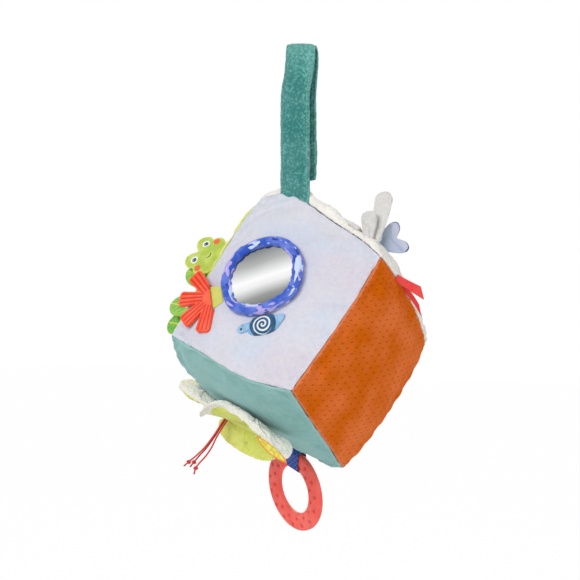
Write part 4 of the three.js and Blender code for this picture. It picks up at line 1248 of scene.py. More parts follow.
class PanelsOperator(bpy.types.Operator):
    """Sew the six padded panels of the block"""
    bl_idname = "activity_block.panels"
    bl_label = "Panels"

    def execute(self, context):
        s = sizes()
        shell, places = shell_mesh()
        edges = np.array([[v.index for v in edge.verts] for edge in shell.edges])
        folds = wrinkles(shell, places)
        calm = calm_round_mirror(places)
        creases = crease_heights(places) * calm
        smooth = dressed_skin(places, edges)
        for vert, point in zip(shell.verts, smooth):
            vert.co = point
        bmesh.ops.recalc_face_normals(shell, faces=shell.faces)
        shell.normal_update()
        ways = np.array([vert.normal for vert in shell.verts])
        near = to_seam(places)
        sewn = SEAM_ROLL * np.exp(-((near - 0.0045) / 0.0022) ** 2) - SEAM_TUCK * eased(near, SEAM_TUCK_REACH)
        to_world = np.array(block_matrix())
        for face in FACES:
            out = np.array(FACES[face][0], float)
            height = sewn + creases * np.isclose(places @ out, 1)
            if face == "top":
                pile = s.pile_rise * pile_share(places)
                height = height + pile * np.sqrt(1 - eased(near, s.pile_round))
            points = smooth + ways * height[:, None] + folds * calm[:, None]
            points = points * (1 - PANEL_GAP_SHARE)
            world = points @ to_world[:3, :3].T + to_world[:3, 3]
            self.add_panel(shell, face, places, world, s)
        shell.free()
        return {"FINISHED"}

    def add_panel(self, shell, face, places, world, s):
        out, across, up = (np.array(part, float) for part in FACES[face])
        bm = shell.copy()
        bm.verts.ensure_lookup_table()
        seam = bm.verts.layers.float.new("seam")
        flat = {}
        near = to_seam(places)
        for vert in bm.verts:
            vert.co = world[vert.index]
            vert[seam] = near[vert.index]
            flat[vert.index] = places[vert.index]
        others = [f for f in bm.faces if not all(flat[v.index] @ out > 1 - 1e-6 for v in f.verts)]
        chart = bm.loops.layers.uv.verify()
        for f in bm.faces:
            for loop in f.loops:
                place = flat[loop.vert.index]
                loop[chart].uv = (place @ across * s.half_edge, place @ up * s.half_edge)
        bmesh.ops.delete(bm, geom=others, context="FACES")
        bmesh.ops.recalc_face_normals(bm, faces=bm.faces)
        centre = block_matrix().translation
        sample = bm.faces[:][len(bm.faces) // 2]
        if sample.normal.dot(sample.calc_center_median() - centre) < 0:
            bmesh.ops.reverse_faces(bm, faces=bm.faces)
        slot, look = PANEL_LOOKS[face]
        piece = add_piece(f"{face}_panel_cloth", bm, [look()], "block", [f"{face}_panel"])
        cloth = piece.modifiers.new("Cloth thickness", "SOLIDIFY")
        cloth.thickness = s.panel_thickness
        cloth.offset = -1
        smooth = piece.modifiers.new("Smooth", "SUBSURF")
        smooth.levels = smooth.render_levels = 1
        if face == "top":
            tufts = bpy.data.textures.new("plush_tufts", "CLOUDS")
            tufts.noise_scale = 0.0022
            tufts.noise_depth = 2
            pile = piece.modifiers.new("Pile", "DISPLACE")
            pile.texture = tufts
            pile.strength = 0.0022
            pile.mid_level = 0.5


class FillingOperator(bpy.types.Operator):
    """Fill the block with fibre round its rattle"""
    bl_idname = "activity_block.filling"
    bl_label = "Filling and rattle"

    def execute(self, context):
        fibre = felt("fibre_filling", "#efeeea")
        for node, voxel in (("foam_core", 0.004), ("foam_plug", 0.002)):
            bm = node_copy(node, voxel, 2)
            push_out(bm, lambda vert: -0.0004 + 0.0004 * ripple(vert.co, 0.006))
            piece = add_piece(f"{node}_fibre", bm, [fibre], "block", [node])
        shell = capsule_plastic("capsule_plastic", "#f2f2ee")
        ball = silicone("rattle_rubber", tuple(colours().fan))
        for node, material in (("rattle_cup", shell), ("rattle_lid", shell), ("rattle_ball", ball)):
            paint(node, material)
        return {"FINISHED"}


def paint(node, material):
    """Gives a carried-over node its material."""
    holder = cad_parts[node]
    holder.data.materials.clear()
    holder.data.materials.append(material)


# the strap

STRAP_TUCK = 0.016
STRAP_LEAN = 0.0062  # how far the front run leans along the strap's width at the fold
TAIL_LEAN = 0.0022
FOLD_LIFT, FOLD_TILT = 0.0014, 0.0042  # how far the fold's left end rises and its right end hangs
STITCH_PITCH = 0.0028


def strap_places():
    """The strap's middle line from its sewn end, over the fold and down the tail."""
    s = sizes()
    offset = (s.strap_gap + s.strap_thickness) / 2
    low, high = -(s.strap_drop + STRAP_TUCK), -s.strap_gap / 2
    places = []
    for z in np.linspace(low, high, 76):
        places.append(Matrix.Translation((0, -offset, z)))
    for angle in np.linspace(0, math.pi, 19)[1:-1]:
        over = Matrix.Rotation(-angle, 4, "X") @ Matrix.Translation((0, -offset, 0))
        places.append(Matrix.Translation((0, 0, high)) @ over)
    for z in np.linspace(high, -s.strap_tail_drop, 66):
        places.append(Matrix.Translation((0, offset, z)) @ Matrix.Rotation(-math.pi, 4, "X"))
    return places


def thread_stitches(points, ways, length, radius):
    """A row of small sewn threads: each lies along its way at its point."""
    whole = bmesh.new()
    for point, way in zip(points, ways):
        place = frame_at(point, Vector(way).orthogonal(), way)
        size = Matrix.Diagonal((radius, length / 2, radius * 0.8, 1))
        bmesh.ops.create_uvsphere(whole, u_segments=6, v_segments=5, radius=1, matrix=place @ size @
                                  Matrix.Rotation(math.pi / 2, 4, "X"))
    return whole


# the bend is across the strap's gap alone, so neither run reaches into it, however low it hangs
FOLD_BEND_SHARE = 0.2


class StrapOperator(bpy.types.Operator):
    """Fold the plush strap and sew its edge and its fastening"""
    bl_idname = "activity_block.strap"
    bl_label = "Strap"

    def execute(self, context):
        s = sizes()
        places = strap_places()
        shrink = [0.35, 0.72, 0.92]
        end = places[-1]
        for k, share in enumerate(reversed(shrink)):
            places.append(end @ Matrix.Translation((0, 0, 0.0007 * (k + 1))) @ Matrix.Diagonal(
                (1 - (1 - share) * 0.12, share, 1, 1)))
        section = round_section(s.strap_width / 2, s.strap_thickness / 2, 56, 0.45)
        bm = sweep(section, places)
        seam = 0.44 * s.strap_width
        bm.normal_update()
        for vert in bm.verts:
            front = vert.co.y < 0
            x = vert.co.x
            groove = math.exp(-((abs(x) - seam) / 0.0011) ** 2)
            tail = 0 if front else math.exp(-((vert.co.z + 0.095) / 0.016) ** 2)
            puckers = 0.00025 * math.sin(vert.co.z / 0.0014) * math.exp(-((abs(x) - seam) / 0.002) ** 2)
            swell = 0.00055 * ripple(vert.co, 0.018, 3) + 0.0003 * ripple(vert.co, 0.007, 4)
            vert.co += vert.normal * (swell + puckers - 0.0009 * groove)
            if not front:
                vert.co.y += 0.0022 * tail * max(0, vert.normal.y)
            vert.co = self.leaning(vert.co)
        plush_teal = strap_plush()
        strap = add_piece(
            "strap_plush", bm, [plush_teal], None, ["strap_front", "strap_tail"], subdivide=1
        )
        high = -s.strap_gap / 2
        offset = (s.strap_gap + s.strap_thickness) / 2
        near = FOLD_BEND_SHARE * s.strap_gap
        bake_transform(strap, "block", "strap_tail", (0, -near, high), (0, near, high))
        self.sew_edges(s, seam, offset)
        self.fastening()
        return {"FINISHED"}

    def leaning(self, point):
        """Where a point of the straight strap goes when its fold leans."""
        s = sizes()
        high = max(0, min(1, 1 + (point.z + 0.004) / 0.045))
        high *= high * (3 - 2 * high)
        back = max(0, min(1, point.y / (s.strap_gap + s.strap_thickness) + 0.5))
        right = point.x / s.strap_width + 0.5
        lean = STRAP_LEAN + (TAIL_LEAN - STRAP_LEAN) * back
        return point + Vector((lean * high, 0, (FOLD_LIFT - FOLD_TILT * right) * high))

    def sew_edges(self, s, seam, offset):
        runs = {
            "block": (-offset - s.strap_thickness / 2, -s.strap_drop + 0.002, -0.012),
            "strap_tail": (offset + s.strap_thickness / 2, -s.strap_tail_drop + 0.004, -0.012),
        }
        pale = thread("strap_thread", "#8fc4bf")
        for body, (y, low, high) in runs.items():
            points = []
            for z in np.arange(low, high, STITCH_PITCH):
                for side in (-1, 1):
                    inset = -0.00075 * math.copysign(1, y)
                    points.append(self.leaning(Vector((side * seam, y + inset, z))))
            bm = thread_stitches(points, [(0, 0, 1)] * len(points), STITCH_PITCH * 0.72, 0.00028)
            add_piece(f"{body}_stitches", bm, [pale], body)

    def fastening(self):
        for node, body, text in (("loop_patch", "block", "#9fb6b4"), ("hook_patch", "strap_tail", "#8aa5a3")):
            bm = node_copy(node, 0.0007, 2)
            tape = add_piece(
                f"{node}_tape", bm, [fastening(node, text)], body, [node]
            )


# the mirror

PAINTED_REFLECTION_WAY = (0.703, -0.711, 0)  # across the painted reflection's bands, in the mirror's own plane
RING_RUNS = 200
RING_SPREAD = 0.0007  # how much wider the gathered ring lies than its solid
LOBE_HALF = 0.0045  # half the thickness of the bug's lobes
BUG_RISE = 0.0015  # how far the bug's head stands up from the seam
GATHERS = 26


class MirrorOperator(bpy.types.Operator):
    """Set the mirror in its gathered ring"""
    bl_idname = "activity_block.mirror"
    bl_label = "Mirror"

    def execute(self, context):
        s = sizes()
        seat = seat_on("front", MIRROR_SHARES)
        paint("mirror_disc", mirror_film())
        backing = node_copy("mirror_backing", 0.0012, 2)
        back = add_piece(
            "mirror_backing_felt", backing, [felt("backing_felt", "#e6e4ea")], "block",
            ["mirror_backing"],
        )
        section = round_section(s.frame_tube, s.frame_tube, 30)
        places = []
        for angle in np.linspace(0, math.tau, RING_RUNS, endpoint=False):
            turn = Matrix.Rotation(angle, 4, "Z") @ Matrix.Translation((s.frame_radius, 0, 0))
            places.append(turn @ Matrix.Rotation(-math.pi / 2, 4, "X"))
        bm = sweep(section, places, closed=True)
        lift = 0.003
        heights = {}
        for vert in bm.verts:
            angle = math.atan2(vert.co.y, vert.co.x)
            key = round(angle * 60 / math.tau)
            if key not in heights:
                at = (math.cos(angle) * s.frame_radius, math.sin(angle) * s.frame_radius)
                heights[key] = skin_height("front", seat, *at)
        for vert in bm.verts:
            x, y, z = vert.co
            angle = math.atan2(y, x)
            far = math.hypot(x, y) - s.frame_radius
            across = math.atan2(z, far)
            ruffle = math.sin(GATHERS * angle + 1.3 * math.sin(5 * angle) + 2 * ripple((x, y, 0), 0.011))
            inner = 0.5 - 0.5 * math.cos(across)
            gather = ruffle * (0.00012 + 0.0003 * inner) + 0.0008 * ripple((x, y, z), 0.008, 2)
            grow = 1 + gather / s.frame_tube
            square = 1 + 0.014 * math.cos(4 * angle + 0.5) + 0.008 * math.cos(7 * angle)
            radius = s.frame_radius * square + RING_SPREAD + far * grow * 0.94
            share = angle * 60 / math.tau
            low = math.floor(share)
            mix = share - low
            height = heights.get(low, heights.get(low + 60, 0)) * (1 - mix) + heights.get(
                low + 1, heights.get(low - 59, 0)) * mix
            sink = max(0, far / s.frame_tube * 0.5 + 0.5)
            vert.co = (
                math.cos(angle) * radius, math.sin(angle) * radius, lift + z * grow + height * sink * 0.55
            )
        ring = add_piece(
            "mirror_ring", bm, [gathered_print()], "block", ["mirror_frame"],
            block_matrix() @ seat, 1,
        )
        return {"FINISHED"}


# tags beside the mirror

FAN_BEARING, SNAIL_BEARING = 224, -54
FAN_LIFT = 3
FAN_LOBE_ANGLES = (-66, -22, 22, 66)
FAN_RIBBON_LENGTH = 0.010
FAN_HUB = 0.015
FAN_SLOT = 0.004
FAN_REACH, FAN_THICKNESS = 0.034, 0.005
FAN_LOBE_WIDTH, FAN_WAIST, FAN_CORNER = 0.0145, 0.009, 0.0035
FAN_GROOVE_SHARES = (-0.62, 0, 0.62)  # each groove's place across half a lobe


def flap_beside(bearing, reach, lift=0.0):
    """The hinge of a flap that lies along the skin beside the mirror's ring."""
    s = sizes()
    seat = seat_on("front", MIRROR_SHARES)
    radius = s.frame_radius + s.frame_tube + SOFT_GAP + ROOT_REACH
    angle = math.radians(bearing)
    at = lambda far: (far * math.cos(angle), far * math.sin(angle))
    height = skin_height("front", seat, *at(radius))
    slope = math.atan2(skin_height("front", seat, *at(radius + reach)) - height, reach)
    turn = Matrix.Rotation(math.radians(bearing - 90), 4, "Z")
    tip = Matrix.Rotation(slope + math.radians(lift), 4, "X")
    place = Matrix.Translation((*at(radius), height + ROOT_REACH + SOFT_GAP))
    return block_matrix() @ seat @ place @ turn @ tip


class FanOperator(bpy.types.Operator):
    """Mould the grooved fan and dress its ribbon"""
    bl_idname = "activity_block.fan"
    bl_label = "Fan teether"

    def execute(self, context):
        hinge = flap_beside(FAN_BEARING, FAN_RIBBON_LENGTH + FAN_HUB, FAN_LIFT)
        inverse = hinge.inverted()
        bm = node_copy("fan_teether", 0.00036, 4)
        bm.normal_update()
        for vert in bm.verts:
            spot = inverse @ vert.co
            facing = abs((inverse.to_3x3() @ vert.normal).z)
            groove = self.groove_at(spot.x, spot.y - FAN_RIBBON_LENGTH)
            vert.co -= vert.normal * (0.0011 * groove * facing)
        pit = bm.verts.layers.float.new("pit")
        for vert in bm.verts:
            spot = inverse @ vert.co
            # painted shade: marks how deep each vertex lies in a groove, for the silicone to darken
            vert[pit] = self.groove_at(spot.x, spot.y - FAN_RIBBON_LENGTH)
        add_piece(
            "fan_silicone", bm, [silicone("fan_silicone", tuple(colours().fan))], "fan_teether",
            ["fan_teether"],
        )
        ribbon = node_copy("fan_ribbon", 0.00042, 2)
        lay_flat(ribbon, lambda vert: (inverse @ vert.co).xy)
        push_out(ribbon, lambda vert: 0.00012 * ripple(vert.co, 0.003))
        lime = woven("fan_ribbon", tone("#dcda62"), 0.0008, 0.75)
        add_piece("fan_ribbon_woven", ribbon, [lime.material], "fan_teether", ["fan_ribbon"])
        return {"FINISHED"}

    def groove_at(self, x, y):
        """1 in the middle of a moulded groove, 0 away from them."""
        far = math.hypot(x, y)
        bearing = math.degrees(math.atan2(-x, y))
        angle = min(FAN_LOBE_ANGLES, key=lambda lobe: abs(lobe - bearing))
        turn = math.radians(angle)
        along = -x * math.sin(turn) + y * math.cos(turn)
        aside = x * math.cos(turn) + y * math.sin(turn)
        half = (FAN_WAIST + (FAN_LOBE_WIDTH - FAN_WAIST) * along / FAN_REACH) / 2
        deep = max(math.exp(-((aside - share * half) / 0.00072) ** 2) for share in FAN_GROOVE_SHARES)
        inner = max(0, min(1, (far - 0.007) / 0.002))
        outer = max(0, min(1, (FAN_REACH - 0.0012 - along) / 0.0012))
        return deep * inner * outer


class SnailOperator(bpy.types.Operator):
    """Sew the snail tag under the mirror's ring"""
    bl_idname = "activity_block.snail"
    bl_label = "Snail tag"

    def execute(self, context):
        width, length, thickness = 0.045, 0.017, 0.004
        hinge = flap_beside(SNAIL_BEARING, length)
        outline = smooth_outline(SNAIL_SHARES, width, length, 90)
        bm = cushion(outline, (0, length / 2), thickness - ROOT_REACH, ROOT_REACH)
        push_out(bm, lambda vert: 0.0002 * ripple(vert.co, 0.004))
        snail = add_piece(
            "snail_tag_print", bm, [snail_print()], "snail_tag", ["snail_tag"], hinge, 1
        )
        return {"FINISHED"}


# tags sewn in the seams

class LeftTagsOperator(bpy.types.Operator):
    """Sew the frog's head and the leaves to the left panel"""
    bl_idname = "activity_block.left_tags"
    bl_label = "Frog and leaves"

    def execute(self, context):
        sideways = (0, 0, 1)
        width, length, thickness = 0.043, 0.033, 0.004
        hinge = hinge_on((-1, -0.86, 0.13), sideways, (-1, 0.05, 0))
        outline = smooth_outline(FROG_SHARES, width, length, 120)
        bm = cushion(outline, (0, length / 2), thickness / 2, thickness / 2)
        push_out(bm, lambda vert: 0.00025 * ripple(vert.co, 0.006))
        frog = add_piece(
            "frog_head_print", bm, [frog_print()], "frog_head", ["frog_head"], hinge, 1
        )
        leaves = {
            "leaf_upper": ((-1, -0.7, -0.08), (-1, 0.05, 0.06), 0.031, 0.0025),
            "leaf_middle": ((-1, -0.76, -0.47), (-1, 0.05, -0.08), 0.025, -0.002),
            "leaf_lower": ((-1, -0.68, -0.65), (-0.93, 0.05, -0.2), 0.018, 0.0012),
        }
        for name, (shares, along, length, curl) in leaves.items():
            self.sew_leaf(name, hinge_on(shares, sideways, along), length, curl)
        return {"FINISHED"}

    def sew_leaf(self, name, hinge, length, curl):
        width, thickness = 0.024, 0.002
        outline = smooth_outline(LEAF_SHARES, width, length, 72)
        bm = cushion(outline, (0, length / 2), thickness / 2, thickness / 2, 0.0008)
        for vert in bm.verts:
            x, y = vert.co.x / width, max(0, vert.co.y / length)
            cup = 0.0016 * (x * 2) ** 2 * min(1, y * 3)
            vert.co.z += curl * y * y * 0.5 + cup + 0.0003 * ripple(vert.co, 0.007)
        leaf = add_piece(f"{name}_print", bm, [leaf_print()], name, [name], hinge, 1)


BUG_LIFT = 0.0038  # how far the bug's head curls up from the plush


class BugOperator(bpy.types.Operator):
    """Sew the plush bug in the front top seam"""
    bl_idname = "activity_block.bug"
    bl_label = "Plush bug"

    def execute(self, context):
        s = sizes()
        lobes = {
            "bug_body": ((0.47, -0.93, 1), (0, -1, 0), (-0.97, -0.02, 0.25), 0.014, 0.039, BODY_LOBE_SHARES),
            "bug_wing_short": ((0.7, -0.98, 1), (1, 0, 0), (-0.5, -0.1, 0.84), 0.014, 0.032, LOBE_SHARES),
            "bug_wing_tall": ((0.7, -0.88, 1), (1, 0, 0), (-0.42, 0.02, 0.9), 0.016, 0.055, LOBE_SHARES),
        }
        grey = plush("grey_plush", tuple(colours().grey), 0.0005)
        for name, (shares, across, along, width, length, outline_shares) in lobes.items():
            hinge = hinge_on(shares, across, along, s.pile_rise)
            outline = smooth_outline(outline_shares, width, length, 64)
            bm = cushion(outline, (0, length / 2), LOBE_HALF, LOBE_HALF, 0.002, 2.4)
            if name == "bug_body":
                for vert in bm.verts:
                    share = max(0, vert.co.y / length)
                    vert.co.z += BUG_RISE * min(1, 2 * share) + BUG_LIFT * share * share
            pinned = [vert.index for vert in bm.verts if vert[bm.verts.layers.float["rim"]] == 1]
            lobe = add_piece(
                f"{name}_plush", bm, [grey], name, [name], hinge, 2,
                lambda piece, rim=pinned: puff(piece, rim, 0.08, 0.0016),
            )
            fuzz = bpy.data.textures.get("short_fuzz") or bpy.data.textures.new("short_fuzz", "CLOUDS")
            fuzz.noise_scale = 0.0011
            fuzz.noise_depth = 1
            pile = lobe.modifiers.new("Pile", "DISPLACE")
            pile.texture = fuzz
            pile.strength = 0.0006
        self.add_eyes(hinge_on(*lobes["bug_body"][:3], s.pile_rise))
        self.sew_tail(s)
        return {"FINISHED"}

    def add_eyes(self, hinge):
        """Two small black beads on the bug's head, one on each side."""
        bm = bmesh.new()
        for side in (-1, 1):
            bmesh.ops.create_uvsphere(
                bm, u_segments=20, v_segments=12, radius=0.0012,
                matrix=Matrix.Translation((side * 0.0042, 0.0062, 0.0052)),
            )
        add_piece("bug_eyes", bm, [bead()], "bug_body", place=hinge)

    def sew_tail(self, s):
        width, length, thickness = 0.031, 0.025, 0.0024
        hinge = hinge_on((0.62, -0.7, 1), (0.5, 0.2, -0.8), (0.59, 0.13, 0.8), s.pile_rise)
        outline = smooth_outline(TAIL_SHARES, width, length, 96)
        bm = cushion(outline, (0, length / 2), thickness / 2, thickness / 2)
        for vert in bm.verts:
            fan = max(0, vert.co.y / length)
            vert.co.z += 0.0011 * math.sin(vert.co.x / width * 9) * fan + 0.0003 * ripple(vert.co, 0.005)
        tail = add_piece("bug_tail_print", bm, [tail_print()], "bug_tail", ["bug_tail"], hinge, 1)


class RedRibbonsOperator(bpy.types.Operator):
    """Sew the red ribbons in the right top seam"""
    bl_idname = "activity_block.red_ribbons"
    bl_label = "Red ribbons"

    def execute(self, context):
        ribbons = {
            "red_ribbon_upper": ((1, -0.55, 1), (-0.15, 0.4, -0.9), (0.8, 0.595, 0.03), 0.0085, -0.0012),
            "red_ribbon_lower": ((1, -0.34, 1), (-0.3, 0.6, -0.6), (0.73, 0.64, -0.22), 0.0058, 0.0030),
        }
        length, thickness = 0.027, 0.0009
        satin = woven("red_satin", tuple(colours().red), 0.0006, 0.38)
        for k, (name, (shares, across, along, width, hang)) in enumerate(ribbons.items()):
            bm = bmesh.new()
            bmesh.ops.create_grid(bm, x_segments=8, y_segments=26, size=0.5)
            for vert in bm.verts:
                x, y = vert.co.x, vert.co.y + 0.5
                slant = 1 + 0.35 * x
                taper = 0.72 + 0.28 * y
                vert.co = (x * width * taper + hang * y * y, y * slant * length - 0.0003, 0)
            lay_flat(bm)
            for vert in bm.verts:
                share = vert.co.y / length
                vert.co.z = 0.0006 * math.sin(5 * share + 2 * k) * share + 0.0003 * math.sin(
                    vert.co.x / width * 3)
            solid_strip(bm, thickness)
            hinge = hinge_on(shares, across, along)
            add_piece(f"{name}_satin", bm, [satin.material], name, [name], hinge, 1)
        return {"FINISHED"}


def solid_strip(bm, thickness):
    """Gives a flat strip its thickness, half to each side."""
    bmesh.ops.recalc_face_normals(bm, faces=bm.faces)
    bmesh.ops.solidify(bm, geom=bm.faces[:], thickness=thickness)
    bmesh.ops.recalc_face_normals(bm, faces=bm.faces)


# the butterfly

NEAR_FORE, NEAR_HIND, NEAR_LENGTH = 0.028, 0.072, 0.030
FORE_DROOP, HIND_DROOP = 0.016, 0.019
BODY_LENGTH, BODY_RADIUS, BODY_TAPER_SHARE = 0.066, 0.005, 0.25
WING_CREST = 0.005
WING_THICKNESS, FAR_THICKNESS = 0.011, 0.008
WING_EDGE = 0.0026
FAR_REACH, FAR_LENGTH, FAR_TILT = 0.037, 0.026, 48
FOREWING_LENGTH, FOREWING_WIDTH = 0.052, 0.022
CRINKLE_LENGTH, CRINKLE_WIDTH, CRINKLE_THICKNESS = 0.006, 0.034, 0.0016
CRINKLE_PLACE, CRINKLE_ROOT = 0.0612, 0.0212


def sag_at(x, y):
    """How far the near wing sags below its crest, less near its root."""
    fore = FORE_DROOP * (x / NEAR_FORE) ** 2
    hind = HIND_DROOP * (x / NEAR_HIND) ** 2
    return (fore if x < 0 else hind) * max(0, min(1, 2 * y / NEAR_LENGTH))


class ButterflyOperator(bpy.types.Operator):
    """Sew the plush butterfly under the block"""
    bl_idname = "activity_block.butterfly"
    bl_label = "Butterfly"

    def execute(self, context):
        seat = block_matrix() @ seat_on("bottom", BUTTERFLY_SHARES)
        lime = velour("butterfly_velour", tuple(colours().lime), 0.0004)
        middle = BODY_RADIUS + SOFT_GAP
        root_gap = ROOT_REACH + SOFT_GAP
        self.add_body(seat @ Matrix.Translation((0, 0, middle)), lime)
        near = seat @ Matrix.Translation((-WING_CREST, BODY_RADIUS + root_gap, middle))
        points = [
            (x * (NEAR_FORE if x < 0 else NEAR_HIND), y * NEAR_LENGTH) for x, y in NEAR_WING_SHARES
        ]
        self.add_wing(
            "butterfly_wing_near", near, smooth_outline(points, 1, 1, 150),
            ((NEAR_HIND - NEAR_FORE) / 2, NEAR_LENGTH / 2), WING_THICKNESS / 2, lime,
            lambda p: (p.x, p.y, p.z + sag_at(p.x, p.y)), 1, 0.8,
        )
        far = seat @ Matrix.Translation((0, -BODY_RADIUS - root_gap, middle))
        far = far @ Matrix.Rotation(math.pi, 4, "Z") @ Matrix.Rotation(math.radians(FAR_TILT), 4, "X")
        self.add_wing(
            "butterfly_wing_far", far, smooth_outline(FAR_WING_SHARES, 2 * FAR_REACH, FAR_LENGTH, 130),
            (0, FAR_LENGTH / 2), FAR_THICKNESS / 2, lime, None, 1, 1,
        )
        root = (-BODY_LENGTH / 2 - root_gap, -0.002, middle)
        fore = seat @ frame_at(root, (0.1, 0.8, 0.6), (-0.98, 0.1, -0.17))
        self.add_wing(
            "butterfly_forewing", fore, smooth_outline(LOBE_SHARES, FOREWING_WIDTH, FOREWING_LENGTH, 100),
            (0, FOREWING_LENGTH / 2), WING_THICKNESS / 2, lime, None, 1, 0.97,
        )
        self.add_crinkle(near)
        return {"FINISHED"}

    def add_body(self, place, lime):
        """A slim stuffed body with a few sewn bands."""
        stations = []
        for share in -np.cos(np.linspace(0, math.pi, 60))[1:-1]:
            slim = 1 - BODY_TAPER_SHARE * share * share * math.copysign(1, share)
            radius = math.sqrt(1 - share * share) * slim
            band = 1 - 0.09 * math.exp(-((share * 4.5) % 1 - 0.5) ** 2 / 0.006)
            at = frame_at((share * BODY_LENGTH / 2, 0, 0), (0, 1, 0), (0, 0, 1))
            size = Matrix.Diagonal((radius * band, radius * band, 1, 1))
            axis = Matrix(((0, 0, 1), (1, 0, 0), (0, 1, 0))).to_4x4()
            stations.append(Matrix.Translation(at.translation) @ axis @ size)
        bm = sweep(round_section(BODY_RADIUS, BODY_RADIUS, 32), stations)
        body = add_piece(
            "butterfly_body_plush", bm, [lime], "block", ["butterfly_body"], place, 1
        )

    def add_wing(self, name, place, outline, heart, half, lime, bend, terry_side, terry_rim):
        """A stuffed wing: terry on the side towards the block and round the rim, velour below."""
        bm = cushion(outline, heart, half, half, WING_EDGE, 2.5)
        rim = bm.verts.layers.float["rim"]
        for face in bm.faces:
            side = -sum(vert.co.z for vert in face.verts) * terry_side
            edge = min(vert[rim] for vert in face.verts) >= terry_rim
            face.material_index = 1 if side > 1e-7 or edge else 0
        if bend:
            for vert in bm.verts:
                vert.co = bend(vert.co)
        pinned = [vert.index for vert in bm.verts if vert[rim] == 1]
        wing = add_piece(
            f"{name}_plush", bm, [lime, terry()], name, [name], place, 2,
            lambda piece: puff(piece, pinned, 0.07, 0.0022),
        )
        loops = bpy.data.textures.get("terry_loops") or bpy.data.textures.new("terry_loops", "CLOUDS")
        loops.noise_scale = 0.0013
        loops.noise_depth = 1
        pile = wing.modifiers.new("Pile", "DISPLACE")
        pile.texture = loops
        pile.strength = 0.0009

    def add_crinkle(self, near):
        """The crinkling tab on the near wing's rim."""
        place = (CRINKLE_PLACE, CRINKLE_ROOT, sag_at(CRINKLE_PLACE, NEAR_LENGTH))
        hinge = near @ frame_at(place, (0.92, -0.38, 0.39), (0, 0.35, 0.94))
        outline = smooth_outline(CRINKLE_SHARES, CRINKLE_WIDTH, CRINKLE_LENGTH, 90)
        bm = cushion(outline, (0, CRINKLE_LENGTH / 2), CRINKLE_THICKNESS / 2, CRINKLE_THICKNESS / 2, 0.0008)
        push_out(bm, lambda vert: 0.0004 * ripple(vert.co, 0.0022))
        tab = add_piece(
            "crinkle_tab", bm, [crinkle_film()], "butterfly_wing_near", ["crinkle_wing"],
            hinge, 1,
        )


# the strings: each route is given and runs from the butterfly's body
STRING_ROUTES = {
    "left": [
        (-0.0627, -0.0272, -0.3363), (-0.0653, -0.0326, -0.3438), (-0.0698, -0.0359, -0.3523),
        (-0.0756, -0.0399, -0.3616), (-0.0817, -0.0441, -0.3691), (-0.0871, -0.0479, -0.3746),
        (-0.0919, -0.0512, -0.3795),
    ],
    "middle": [
        (-0.0635, -0.0250, -0.3370), (-0.0660, -0.0304, -0.3446), (-0.0704, -0.0336, -0.3533),
        (-0.0761, -0.0376, -0.3630), (-0.0817, -0.0415, -0.3705), (-0.0853, -0.0440, -0.3757),
        (-0.0885, -0.0462, -0.3806),
    ],
    "right": [
        (-0.0614, -0.0257, -0.3381), (-0.0638, -0.0306, -0.3451), (-0.0681, -0.0337, -0.3540),
        (-0.0717, -0.0362, -0.3630), (-0.0763, -0.0394, -0.3711), (-0.0807, -0.0425, -0.3769),
        (-0.0835, -0.0444, -0.3815), (-0.0848, -0.0453, -0.3872),
    ],
}
KNOT_SHARE = 0.9  # where along its string each knot is tied


class StringsOperator(bpy.types.Operator):
    """Twist the butterfly's strings and tie their knots"""
    bl_idname = "activity_block.strings"
    bl_label = "Strings"

    def execute(self, context):
        s = sizes()
        cord = thread("red_cord", "#e0251c")
        radius = s.string_diameter / 2
        for side, route in STRING_ROUTES.items():
            path = smooth_path(route, 30)
            fine = smooth_path(route, 110)
            length = sum((b - a).length for a, b in zip(fine, fine[1:]))
            section = []
            for i in range(12):
                angle = math.tau * i / 12
                lobe = radius * (1.1 + 0.12 * math.cos(3 * angle))
                section.append((lobe * math.cos(angle), lobe * math.sin(angle)))
            bm = sweep(section, along_path(fine, turns=length / 0.0036))
            string = add_piece(
                f"antenna_string_{side}_cord", bm, [cord], "block", [f"antenna_string_{side}"]
            )
            knot = self.tie_knot(side, fine, radius, cord)
        return {"FINISHED"}

    def tie_knot(self, side, path, radius, cord):
        """A small overhand knot pulled tight round its string."""
        at = path[round(KNOT_SHARE * (len(path) - 1))]
        way = (path[-1] - path[-6]).normalized()
        place = frame_at(at, way.orthogonal(), way) @ Matrix.Rotation(math.pi / 2, 4, "X")
        loop = []
        for angle in np.linspace(0, math.tau, 72, endpoint=False):
            x = math.sin(angle) + 2 * math.sin(2 * angle)
            y = math.cos(angle) - 2 * math.cos(2 * angle)
            loop.append(Vector((x, y, -1.5 * math.sin(3 * angle))) * radius * 0.8)
        bm = sweep(round_section(radius * 0.95, radius * 0.95, 10), along_path(loop, closed=True), closed=True)
        return add_piece(f"antenna_string_{side}_knot", bm, [cord], "block", place=place)


# the ring

DIMPLE_ROWS = ((0.31, 15, 0.0), (0.69, 15, 0.5))
DIMPLE_RADIUS, DIMPLE_DEPTH = 0.0017, 0.0013


